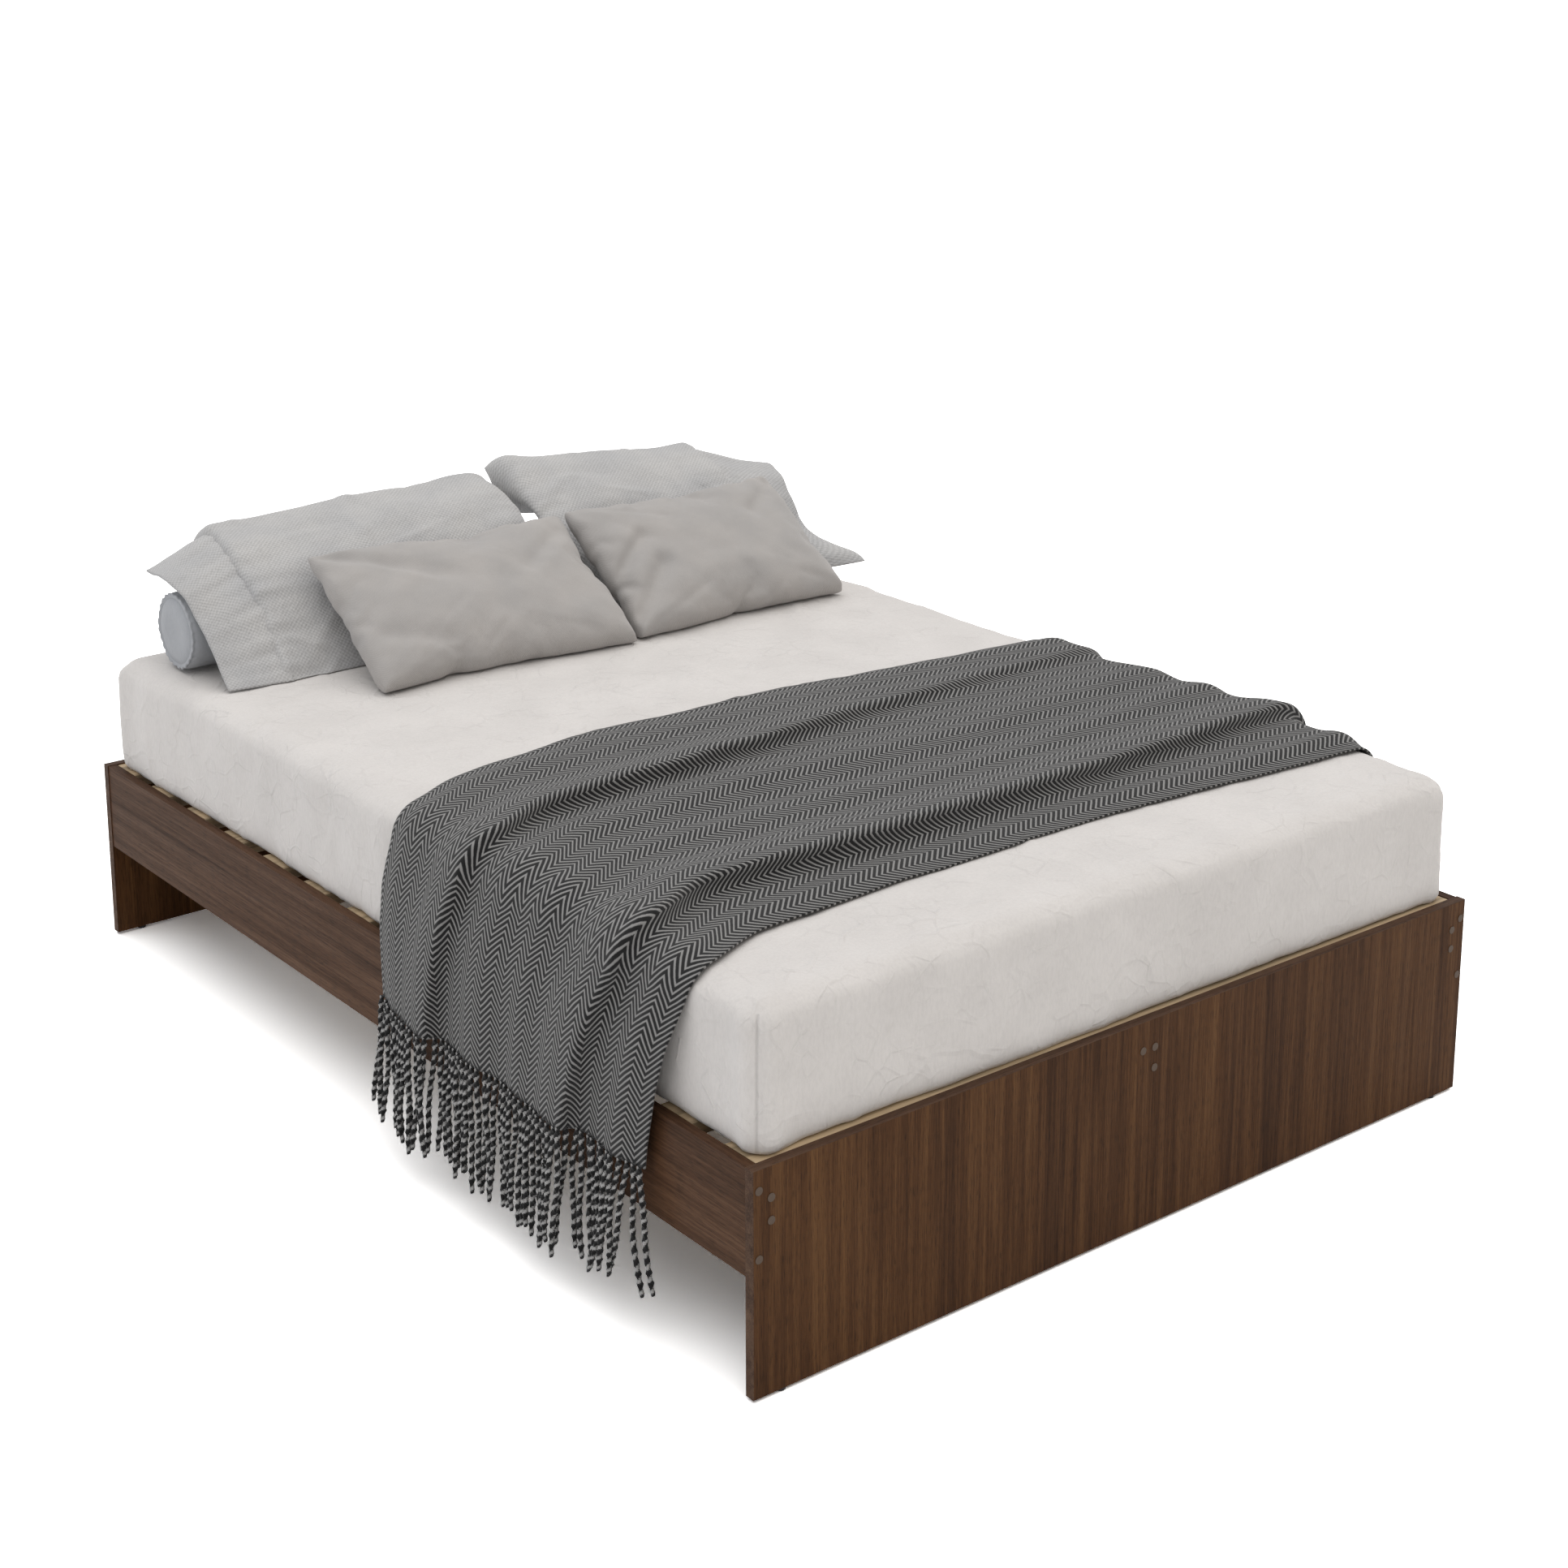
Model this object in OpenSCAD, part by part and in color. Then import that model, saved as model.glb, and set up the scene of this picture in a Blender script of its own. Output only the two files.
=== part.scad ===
// Low panel-ended platform bed with a dressed mattress.
// Origin: centre of the footprint on the floor. +X to the right seen from the foot,
// +Y from the foot to the head, +Z up. Millimetres.

/* [Bed frame] */
// Length over both end panels
bed_l = 1940; // [1700:10:2300]
// Width over the end panels
bed_w = 1430; // [1200:10:1800]
// Height of the end panels above the floor
bed_h = 330; // [300:5:450]
// Thickness of the laminated boards
board_t = 16; // [15:1:22]
// Height of a side rail
rail_h = 154; // [130:2:200]
// Step from the end of a panel to the face of a rail
rail_inset = 1.5; // [0.5:0.5:4]
// Step from the top of a panel down to the top of a rail
rail_drop = 1; // [0.5:0.5:4]
// Thickness of the edge banding
edging_t = 1; // [0.5:0.5:2]

/* [Slats] */
// Number of slats
slat_count = 14; // [8:1:18]
// Width of a slat
slat_w = 70; // [50:1:90]
// Thickness of a slat
slat_t = 24; // [18:1:30]
// Step from the top of a rail down to the slats
slat_drop = 1; // [0.5:0.5:4]
// Gap between the end of a slat and a rail
slat_end_gap = 2; // [1:0.5:6]
// Width of a webbing strap
strap_w = 25; // [15:1:40]
// Thickness of a webbing strap
strap_t = 1.5; // [1:0.5:3]
// Distance of a strap from the middle of the bed
strap_off = 330; // [150:10:450]

/* [Bearers and centre beam] */
// Height of the bearers and of the beam boards
bearer_h = 70; // [50:1:90]
// Thickness of the bearers and of the beam boards
bearer_t = 24; // [18:1:30]
// Depth of a centre leg along the bed
leg_d = 70; // [40:1:90]
// Distance of a centre leg from the middle of the bed
leg_off = 320; // [150:10:500]

/* [Fittings] */
// Spacing of the screws in a rail
rail_screw_gap = 96; // [64:32:128]
// Spacing of the screws in a bearer or a beam board
bearer_screw_gap = 32; // [20:1:40]
// Radius of a connector screw
screw_r = 3.5; // [2.5:0.1:4]
// Length of a connector screw under its head
screw_l = 46; // [34:1:60]
// Radius of a screw head
head_r = 5; // [4.5:0.1:6]
// Radius of a cover cap
cap_r = 6; // [5.5:0.1:8]
// Radius of a dowel
dowel_r = 4; // [3:0.1:5]
// Length of a dowel
dowel_l = 30; // [24:1:40]
// Radius of a floor glide
glide_r = 7.5; // [6:0.1:8]
// Height of a floor glide
glide_h = 5; // [3:0.5:12]
// Distance of a glide from the end of its panel
glide_in = 50; // [30:1:120]

/* [Mattress] */
// Step from the end of the bed in to the mattress
mattress_end_gap = 20; // [5:1:60]
// Step from the side of the bed in to the mattress
mattress_side_gap = 20; // [5:1:60]
// Height of the mattress in its sheet
mattress_h = 212; // [150:2:300]
// Radius of the mattress edges
mattress_r = 42; // [20:1:60]

/* [Throw] */
// Width that the gathered throw covers along the bed
throw_w = 780; // [500:10:900]
// Distance of the throw from the foot end of the mattress
throw_in = 196; // [60:1:300]
// Thickness of the gathered throw
throw_t = 12; // [6:1:20]
// Drop of the throw below the mattress top on the left
drop_left = 300; // [240:5:340]
// Drop of the throw below the mattress top on the right
drop_right = 110; // [60:5:150]
// Length of the fringe
fringe_l = 195; // [80:5:195]
// Thickness of the fringe
fringe_t = 6; // [3:1:10]

/* [Pillows] */
// Radius of the bolster
bolster_r = 69.5; // [50:0.5:90]
// Distance of the bolster's ends from the sides of the mattress
bolster_end_gap = 50; // [20:1:120]
// Distance of the bolster's axis from the head end of the mattress
bolster_in = 156; // [130:1:220]
// Thickness of a back pillow where it lies over the bolster
pillow_t = 44; // [30:1:70]
// Distance that a back pillow's foot spreads out in front of its roll over the bolster
pillow_spread = 82; // [60:1:110]
// Distance that a back pillow reaches behind the bolster's axis
pillow_tail = 152; // [110:1:170]
// Rise of a back pillow's tail above its roll over the bolster
pillow_rise = 48; // [0:2:70]
// Distance that the left pillowcase reaches past the end of the bolster
case_past_left = -8; // [-60:1:40]
// Distance that the right pillowcase reaches past the end of the bolster
case_past_right = 35; // [-60:1:40]
// Thickness of the open flap of a pillowcase
flap_t = 14; // [6:1:25]
// Length of the open flap of a pillowcase
flap_l = 105; // [50:5:110]
// Width of a front cushion
cushion_w = 505; // [350:5:530]
// Distance of the right cushion from the side of the mattress
cushion_in = 101; // [20:1:160]
// Distance from the front of the back pillows to the foot of the cushions
cushion_step = 180; // [150:2:230]
// Height of a front cushion
cushion_h = 325; // [250:5:380]
// Thickness of a front cushion
cushion_t = 96; // [60:2:120]
// Thickness of a front cushion at its seam
cushion_rim_t = 22; // [10:1:40]

/* [Hidden] */
slat_names = [for (i = [1 : slat_count]) str("slat_", i < 10 ? "0" : "", i)];

// Fits and clearances
bore_gap = 0.05;      // round a screw, dowel or pin in its bore
rest_gap = 0.4;       // between soft pieces that rest on each other
side_gap = 6;         // between soft pieces that lie side by side
lean_gap = 1;         // between a cushion and the pillow that it leans on
hang_gap = 8;         // from the end of a panel out to the hanging throw
eps = 1;              // overrun of a cutting tool

// Levels
rail_top = bed_h - rail_drop;
slat_top = rail_top - slat_drop;
bearer_top = slat_top - slat_t;
bearer_low = bearer_top - bearer_h;
bearer_mid = bearer_top - bearer_h / 2;
rail_low = rail_top - rail_h;
rail_mid = rail_top - rail_h / 2;
panel_h = bed_h - glide_h;
mattress_low = slat_top + rest_gap;
mattress_top = mattress_low + mattress_h;
mattress_l = bed_l - 2 * mattress_end_gap;
mattress_w = bed_w - 2 * mattress_side_gap;

// Places across and along the bed
panel_in = bed_l / 2 - board_t;            // inner face of an end panel
rail_out = bed_w / 2 - rail_inset;         // outer face of a rail
rail_in = rail_out - board_t;              // inner face of a rail
rail_x = rail_out - board_t / 2;
bearer_x = rail_in - bearer_t / 2;
beam_x = bearer_t / 2;
slat_l = 2 * (rail_in - slat_end_gap);
slat_pitch = (2 * panel_in - slat_w) / (slat_count - 1);
leg_w = 2 * bearer_t;

// Screws: a sunk head, a shank, and a cap that closes the counterbore
head_h = 4;
head_depth = 6;
cap_flange = 0.8;
cap_stem = head_depth - head_h - 0.5;
bearer_screw_z = [bearer_mid - bearer_screw_gap / 2, bearer_mid + bearer_screw_gap / 2];
rail_screw_z = [rail_mid - rail_screw_gap / 2, rail_mid + rail_screw_gap / 2];
beam_left_screw_z = [bearer_screw_z[1]];    // the left board has one screw, the right one has two
screw_places = concat(
    [for (s = [-1, 1], z = rail_screw_z) [s * rail_x, z]],
    [for (s = [-1, 1], z = bearer_screw_z) [s * bearer_x, z]],
    [for (z = beam_left_screw_z) [-beam_x, z]],
    [for (z = bearer_screw_z) [beam_x, z]]);
dowel_places = [for (s = [-1, 1]) [s * rail_x, rail_mid]];
dowel_in_panel = 10;
leg_dowel_gap = 30;
glide_pin_r = 1.5;
glide_pin_l = 14;

// Throw
fringe_slit = 0.5;                         // between a hem and its fringe
throw_top = mattress_top + rest_gap;
edge_cut = 0.58 * mattress_r;              // chamfer that clears the round edge of the mattress
throw_leg = bed_w / 2 + hang_gap;          // inner face of a hanging side
throw_foot = throw_in - mattress_l / 2;    // front edge of the throw
shoulder_h = 30;                           // of the hanging sides above the bed's edge
least_hang = 1;                            // least upright height of a hanging side

// Bolster and back pillows
bolster_l = mattress_w - 2 * bolster_end_gap;
bolster_y = mattress_l / 2 - bolster_in;
bolster_z = mattress_top + rest_gap + bolster_r;
bolster_soft = 8;                          // bevel round the bolster's ends
pillow_inner = bolster_r + rest_gap;
pillow_outer = pillow_inner + pillow_t;
pillow_toe = pillow_outer + pillow_spread;
tail_t = 62;                               // thickness of the tail's end
toe_lip = 4;                               // thickness of a layer's foot on the mattress
flap_step = 18;                            // from the pillow's foot back to its flap's foot
wrap_angle = 120;                          // how far a layer's inside follows the bolster
split_x = mattress_w / 2 - cushion_in - cushion_w - side_gap / 2;

// Front cushions: each leans on the roll of the pillow behind it
cushion_border = [76, 65];                 // sloping border of the filling, across and up
toe_lift = 11;                             // of a cushion's lower edge above the mattress
cushion_run = pillow_toe + cushion_step;   // from a cushion's foot to the bolster's axis
cushion_climb = bolster_z - mattress_top - toe_lift;
cushion_front = bolster_y - cushion_run;
cushion_lean = 90 - atan2(cushion_climb, cushion_run)
    - asin((pillow_outer + lean_gap + cushion_t / 2) / norm([cushion_run, cushion_climb]));

// Facets and steps of the curves
bar_facets = 48;
pin_facets = 24;
mattress_facets = 24;
bolster_facets = 96;
arc_steps = 10;

wood_walnut = "#583e2d";
wood_walnut_cool = "#52423a";
wood_slat = "#b09a7c";
steel = "#a9abad";
cap_brown = "#8c7a6a";
black_plastic = "#26262a";
linen_sheet = "#d3cfcb";
linen_case = "#b9babc";
linen_twill = "#a5a3a0";
throw_grey = "#4a4a4c";
webbing = "#d8d4c8";

// ---- Shapes that repeat -----------------------------------------------------

// A round bar along Y, from y to y + l.
module bar_y(r, x, y, z, l) {
    translate([x, y, z]) rotate([-90, 0, 0]) cylinder(r = r, h = l, $fn = bar_facets);
}

// Everything that is cut out of an end panel, with its outer face at -Y.
module panel_cuts() {
    for (p = screw_places) {
        bar_y(screw_r + bore_gap, p[0], -bed_l / 2 - eps, p[1], board_t + 2 * eps);
        bar_y(head_r + bore_gap, p[0], -bed_l / 2 - eps, p[1], head_depth + eps);
    }
    for (p = dowel_places) {
        bar_y(dowel_r + bore_gap, p[0], -panel_in - dowel_in_panel, p[1], dowel_in_panel + eps);
    }
    for (s = [-1, 1]) {
        translate([s * (bed_w / 2 - glide_in), -bed_l / 2 + board_t / 2, glide_h - eps])
            cylinder(r = glide_pin_r + bore_gap, h = glide_pin_l + eps + bore_gap,
                     $fn = pin_facets);
    }
}

// End panel at the foot: the board inside its edge banding.
module end_panel() {
    difference() {
        translate([-bed_w / 2 + edging_t, -bed_l / 2, glide_h])
            cube([bed_w - 2 * edging_t, board_t, panel_h - edging_t]);
        panel_cuts();
    }
}

// Edge banding over the top and both upright edges of an end panel.
module end_panel_edging() {
    difference() {
        translate([-bed_w / 2, -bed_l / 2, glide_h]) cube([bed_w, board_t, panel_h]);
        translate([-bed_w / 2 + edging_t, -bed_l / 2 - eps, glide_h - eps])
            cube([bed_w - 2 * edging_t, board_t + 2 * eps, panel_h - edging_t + eps]);
    }
}

// The bores in the two ends of a piece that the connector screws hold.
module end_screw_bores(x, heights) {
    reach = screw_l - (board_t - head_depth) + bore_gap;
    for (z = heights, s = [-1, 1]) {
        bar_y(screw_r + bore_gap, x, s > 0 ? panel_in - reach : -panel_in - eps, z, reach + eps);
    }
}

// Side rail on the right: the board under its top edge banding.
module side_rail() {
    reach = dowel_l - dowel_in_panel + 2 * bore_gap;
    difference() {
        translate([rail_in, -panel_in, rail_low])
            cube([board_t, 2 * panel_in, rail_h - edging_t]);
        end_screw_bores(rail_x, rail_screw_z);
        for (s = [-1, 1]) {
            bar_y(dowel_r + bore_gap, rail_x, s > 0 ? panel_in - reach : -panel_in - eps,
                  rail_mid, reach + eps);
        }
    }
}

module side_rail_edging() {
    translate([rail_in, -panel_in, rail_top - edging_t]) cube([board_t, 2 * panel_in, edging_t]);
}

// A board on edge that carries the slats, from end panel to end panel.
module bearer(x, heights) {
    difference() {
        translate([x - bearer_t / 2, -panel_in, bearer_low])
            cube([bearer_t, 2 * panel_in, bearer_h]);
        end_screw_bores(x, heights);
    }
}

module beam_board(side) {
    difference() {
        bearer(side * beam_x, side < 0 ? beam_left_screw_z : bearer_screw_z);
        leg_dowel_bars(bore_gap);
    }
}

// The dowels between the beam boards and the centre legs.
module leg_dowel_bars(gap) {
    for (s = [-1, 1], t = [-1, 1], u = [-1, 1]) {
        translate([t * beam_x, s * leg_off + u * leg_dowel_gap / 2, bearer_low - dowel_l / 2 - gap])
            cylinder(r = dowel_r + gap, h = dowel_l + 2 * gap, $fn = bar_facets);
    }
}

module centre_leg(side) {
    difference() {
        translate([-leg_w / 2, side * leg_off - leg_d / 2, glide_h])
            cube([leg_w, leg_d, bearer_low - glide_h]);
        leg_dowel_bars(bore_gap);
        translate([0, side * leg_off, glide_h - eps])
            cylinder(r = glide_pin_r + bore_gap, h = glide_pin_l + eps + bore_gap,
                     $fn = pin_facets);
    }
}

// A slat with softened long edges.
module slat(i) {
    soft = 2;
    y = -panel_in + slat_w / 2 + (i - 1) * slat_pitch;
    outline = [[-slat_w / 2 + soft, 0], [slat_w / 2 - soft, 0], [slat_w / 2, soft],
               [slat_w / 2, slat_t - soft], [slat_w / 2 - soft, slat_t],
               [-slat_w / 2 + soft, slat_t], [-slat_w / 2, slat_t - soft], [-slat_w / 2, soft]];
    color(wood_slat)
        translate([-slat_l / 2, y, bearer_top]) rotate([90, 0, 90])
            linear_extrude(slat_l) polygon(outline);
}

module slat_strap(side) {
    color(webbing)
        translate([side * strap_off - strap_w / 2, -panel_in, bearer_top - strap_t])
            cube([strap_w, 2 * panel_in, strap_t]);
}

// Connector screws of the foot end.
module connector_screws() {
    for (p = screw_places) {
        bar_y(head_r, p[0], -bed_l / 2 + head_depth - head_h, p[1], head_h);
        bar_y(screw_r, p[0], -bed_l / 2 + head_depth, p[1], screw_l);
    }
}

// Cover caps of the foot end: a thin flange and a stem in the counterbore.
module screw_caps() {
    for (p = screw_places) {
        bar_y(cap_r, p[0], -bed_l / 2 - cap_flange, p[1], cap_flange);
        bar_y(head_r, p[0], -bed_l / 2 - cap_flange, p[1], cap_flange + cap_stem);
    }
}

// A floor glide: a domed disc with a pin.
module glide(x, y) {
    rim = 1;
    translate([x, y, 0]) rotate_extrude($fn = bar_facets)
        polygon([[0, 0], [glide_r - rim, 0], [glide_r, rim], [glide_r, glide_h],
                 [glide_pin_r, glide_h], [glide_pin_r, glide_h + glide_pin_l],
                 [0, glide_h + glide_pin_l]]);
}

// Half of the throw's section, from the middle of the bed out to its hem.
function throw_side(drop, out) = [
    [mattress_w / 2 + rest_gap - edge_cut, throw_top + out],
    [mattress_w / 2 + rest_gap + out, throw_top - edge_cut],
    [throw_leg + out, max(mattress_top - drop + least_hang, bed_h + shoulder_h)],
    [throw_leg + out, mattress_top - drop]];

function flip_x(points) = [for (i = [len(points) - 1 : -1 : 0]) [-points[i][0], points[i][1]]];

// A hanging slab of fringe under a hem.
module fringe(side, drop) {
    x = throw_leg + (throw_t - fringe_t) / 2;
    translate([side > 0 ? x : -x - fringe_t, throw_foot, mattress_top - drop - fringe_l])
        cube([fringe_t, throw_w, fringe_l - fringe_slit]);
}

// Section of a layer over the bolster: a sloping front down to the mattress, an arc
// over the bolster and a tail towards the head. The inside is upright below the axis,
// so that the layer lifts straight off, and its flats touch the circle that clears the bolster.
function over_bolster(thick, toe, tail, rise, end_t) =
    let (ro = pillow_inner + thick, low = -bolster_r, half_step = wrap_angle / arc_steps / 2,
         ri = pillow_inner / cos(half_step),
         lean = acos(ro / norm([toe, low])) + atan2(low, toe))
    concat(
        [[ri, low], [toe, low], [toe, low + toe_lip]],
        [for (i = [0 : arc_steps]) let (a = lean + (90 - lean) * i / arc_steps)
            [ro * cos(a), ro * sin(a)]],
        [[-tail, ro + rise], [-tail, ro + rise - end_t]],
        [for (i = [0 : arc_steps]) let (a = wrap_angle - wrap_angle * i / arc_steps)
            [ri * cos(a), ri * sin(a)]]);

module over_bolster_layer(x, w, section) {
    translate([x, bolster_y, bolster_z]) rotate([90, 0, 90]) mirror([1, 0, 0])
        linear_extrude(w) polygon(section);
}

pillow_section = over_bolster(pillow_t, pillow_toe, pillow_tail, pillow_rise, tail_t);
flap_section = over_bolster(flap_t, pillow_toe - flap_step, bolster_r, 0, flap_t - rest_gap);

// Back pillow from the joint outwards: its filled part, then the open flap of its case.
module back_pillow(side, past) {
    start = side * split_x + side_gap / 2;
    end = bolster_l / 2 + past;
    color(linen_case) mirror([side > 0 ? 1 : 0, 0, 0]) {
        over_bolster_layer(flap_l - end, end - flap_l - start, pillow_section);
        over_bolster_layer(-end, flap_l, flap_section);
    }
}

// A cushion that leans back, on one side of the joint between the two.
module front_cushion(side) {
    core_w = cushion_w - 2 * cushion_border[0];
    core_h = cushion_h - 2 * cushion_border[1];
    color(linen_twill)
        translate([split_x + side * (cushion_w + side_gap) / 2, cushion_front,
                   mattress_top + toe_lift])
            rotate([-cushion_lean, 0, 0]) translate([0, 0, cushion_h / 2]) hull() {
                cube([cushion_w, cushion_rim_t, cushion_h], center = true);
                cube([core_w, cushion_t, core_h], center = true);
            }
}

// ---- Sub-parts --------------------------------------------------------------

module foot_panel() { color(wood_walnut) end_panel(); }
module head_panel() { color(wood_walnut) mirror([0, 1, 0]) end_panel(); }
module foot_panel_edging() { color(wood_walnut_cool) end_panel_edging(); }
module head_panel_edging() { color(wood_walnut_cool) mirror([0, 1, 0]) end_panel_edging(); }
module left_rail() { color(wood_walnut_cool) mirror([1, 0, 0]) side_rail(); }
module right_rail() { color(wood_walnut_cool) side_rail(); }
module left_rail_edging() { color(wood_walnut) mirror([1, 0, 0]) side_rail_edging(); }
module right_rail_edging() { color(wood_walnut) side_rail_edging(); }
module left_bearer() { color(wood_slat) bearer(-bearer_x, bearer_screw_z); }
module right_bearer() { color(wood_slat) bearer(bearer_x, bearer_screw_z); }
module beam_board_left() { color(wood_slat) beam_board(-1); }
module beam_board_right() { color(wood_slat) beam_board(1); }
module front_centre_leg() { color(wood_slat) centre_leg(-1); }
module rear_centre_leg() { color(wood_slat) centre_leg(1); }
module foot_connector_screws() { color(steel) connector_screws(); }
module head_connector_screws() { color(steel) mirror([0, 1, 0]) connector_screws(); }
module foot_screw_caps() { color(cap_brown) screw_caps(); }
module head_screw_caps() { color(cap_brown) mirror([0, 1, 0]) screw_caps(); }

module rail_dowels() {
    color(wood_slat) for (m = [0, 1], p = dowel_places) mirror([0, m, 0])
        bar_y(dowel_r, p[0], -panel_in - dowel_in_panel + bore_gap, p[1], dowel_l);
}

module leg_dowels() { color(wood_slat) leg_dowel_bars(0); }

module panel_glides() {
    color(black_plastic) for (s = [-1, 1], t = [-1, 1])
        glide(s * (bed_w / 2 - glide_in), t * (bed_l / 2 - board_t / 2));
}

module leg_glides() { color(black_plastic) for (t = [-1, 1]) glide(0, t * leg_off); }

module mattress() {
    x = mattress_w / 2 - mattress_r;
    y = mattress_l / 2 - mattress_r;
    color(linen_sheet) hull()
        for (sx = [-x, x], sy = [-y, y], z = [mattress_low + mattress_r, mattress_top - mattress_r])
            translate([sx, sy, z]) sphere(r = mattress_r, $fn = mattress_facets);
}

module throw() {
    section = concat(
        throw_side(drop_right, throw_t), [for (i = [3 : -1 : 0]) throw_side(drop_right, 0)[i]],
        flip_x([for (i = [3 : -1 : 0]) throw_side(drop_left, 0)[i]]),
        flip_x(throw_side(drop_left, throw_t)));
    color(throw_grey) translate([0, throw_foot + throw_w, 0]) rotate([90, 0, 0])
        linear_extrude(throw_w) polygon(section);
}

module throw_fringe_left() { color(throw_grey) fringe(-1, drop_left); }
module throw_fringe_right() { color(throw_grey) fringe(1, drop_right); }

module bolster() {
    full = bolster_r;
    end = bolster_r - bolster_soft;
    color(linen_twill) translate([-bolster_l / 2, bolster_y, bolster_z]) rotate([0, 90, 0])
        rotate_extrude($fn = bolster_facets)
            polygon([[0, 0], [end, 0], [full, bolster_soft], [full, bolster_l - bolster_soft],
                     [end, bolster_l], [0, bolster_l]]);
}

module back_pillow_left() { back_pillow(-1, case_past_left); }
module back_pillow_right() { back_pillow(1, case_past_right); }
module front_cushion_left() { front_cushion(-1); }
module front_cushion_right() { front_cushion(1); }

foot_panel();
head_panel();
foot_panel_edging();
head_panel_edging();
left_rail();
right_rail();
left_rail_edging();
right_rail_edging();
left_bearer();
right_bearer();
beam_board_left();
beam_board_right();
front_centre_leg();
rear_centre_leg();
for (i = [1 : slat_count]) slat(i);
slat_strap(-1);  // slat_strap_left
slat_strap(1);  // slat_strap_right
foot_connector_screws();
head_connector_screws();
foot_screw_caps();
head_screw_caps();
rail_dowels();
leg_dowels();
panel_glides();
leg_glides();
mattress();
throw();
throw_fringe_left();
throw_fringe_right();
bolster();
back_pillow_left();
back_pillow_right();
front_cushion_left();
front_cushion_right();
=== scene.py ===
# %% [markdown]
# # A dressed platform bed
# The wooden frame comes finished from the CAD model: every board, slat, screw and glide is a
# node that stays as it is and only gets a finish. The bedding is modelled here, because cloth
# is what CAD does badly: the CAD model holds it as plain solids that give its size and place.

# %% Load the frame
import math

import bmesh
import bpy
import numpy as np
from mathutils import Matrix, Vector, noise
from mathutils.bvhtree import BVHTree


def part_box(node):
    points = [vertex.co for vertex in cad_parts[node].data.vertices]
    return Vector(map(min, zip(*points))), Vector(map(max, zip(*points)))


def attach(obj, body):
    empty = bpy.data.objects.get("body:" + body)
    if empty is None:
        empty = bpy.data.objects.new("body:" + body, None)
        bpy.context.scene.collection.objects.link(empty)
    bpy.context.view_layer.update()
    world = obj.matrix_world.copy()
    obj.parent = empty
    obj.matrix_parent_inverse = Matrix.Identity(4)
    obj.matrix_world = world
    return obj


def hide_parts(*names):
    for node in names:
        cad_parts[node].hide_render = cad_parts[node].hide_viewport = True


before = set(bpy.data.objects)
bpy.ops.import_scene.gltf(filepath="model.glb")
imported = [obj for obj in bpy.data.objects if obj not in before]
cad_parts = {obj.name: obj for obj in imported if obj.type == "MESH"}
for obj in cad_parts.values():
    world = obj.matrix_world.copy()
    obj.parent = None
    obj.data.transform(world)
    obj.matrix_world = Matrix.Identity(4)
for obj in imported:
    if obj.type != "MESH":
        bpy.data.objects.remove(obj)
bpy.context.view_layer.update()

# %% [markdown]
# ## Camera
# The bed is seen from the foot end on its left, from a little above. A long lens keeps the
# verticals upright, and a small downward shift frames the bed without tilting the camera more.

# %% Camera
YAW = math.radians(38.304)
PITCH = math.radians(13.717)
camera_data = bpy.data.cameras.new("camera")
camera_data.sensor_width = 36
camera_data.lens = 60.04
camera_data.shift_y = -0.1862
camera_data.clip_end = 400
camera = bpy.data.objects.new("camera", camera_data)
bpy.context.scene.collection.objects.link(camera)
camera.location = (-2.5429, -3.3477, 1.9443)
camera.rotation_euler = (math.radians(90) - PITCH, 0, -YAW)
bpy.context.scene.camera = camera

# %% [markdown]
# ## Studio
# The bed stands on a white floor that runs out of sight on every side. A very wide sun lamp,
# almost straight above, gives the tops more light than the sides and leaves a soft shadow under
# the bed. The world fills the rest: it is cooler and brighter towards the head and the left,
# warmer and dimmer towards the foot and the right, and plain white where it is seen behind the
# floor. The floor has a brighter colour for the camera alone, so that it looks white and still
# sends no more than its share of light back up to the bed.

# %% Floor and lights
FLOOR_LIT, FLOOR_SEEN = 0.93, 2.0
FILL, BACKDROP = 0.70, 1.1
COOL_SIDE = (-0.6, 0.8, 0)
WARM, COOL, WHITE = (0.70, 0.665, 0.62, 1), (0.96, 0.985, 1.03, 1), (1, 1, 1, 1)


def grey(level):
    """A neutral colour from one number."""
    return (level, level, level, 1)


def mixed(tree, factor, first, second):
    """A mix of two colours in a node tree. Each may be a value or another node's output."""
    mix = tree.nodes.new("ShaderNodeMix")
    mix.data_type = "RGBA"
    tree.links.new(factor, mix.inputs[0])
    for socket, value in zip([i for i in mix.inputs if i.type == "RGBA"], (first, second)):
        if isinstance(value, bpy.types.NodeSocket):
            tree.links.new(value, socket)
        else:
            socket.default_value = value
    return next(o for o in mix.outputs if o.type == "RGBA")


def studio_floor(reach=90):
    """One large square under the bed. reach: from its middle to its edges, in metres."""
    bm = bmesh.new()
    bmesh.ops.create_grid(bm, x_segments=1, y_segments=1, size=reach)
    mesh = bpy.data.meshes.new("studio_floor")
    bm.to_mesh(mesh)
    bm.free()
    floor = bpy.data.objects.new("studio_floor", mesh)
    bpy.context.scene.collection.objects.link(floor)
    paint = bpy.data.materials.new("studio_floor")
    paint.use_nodes = True
    tree = paint.node_tree
    shader = tree.nodes["Principled BSDF"]
    seen = tree.nodes.new("ShaderNodeLightPath").outputs["Is Camera Ray"]
    colour = mixed(tree, seen, grey(FLOOR_LIT), grey(FLOOR_SEEN))
    tree.links.new(colour, shader.inputs["Base Color"])
    shader.inputs["Roughness"].default_value = 1.0
    shader.inputs["Specular IOR Level"].default_value = 0.0
    mesh.materials.append(paint)


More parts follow.
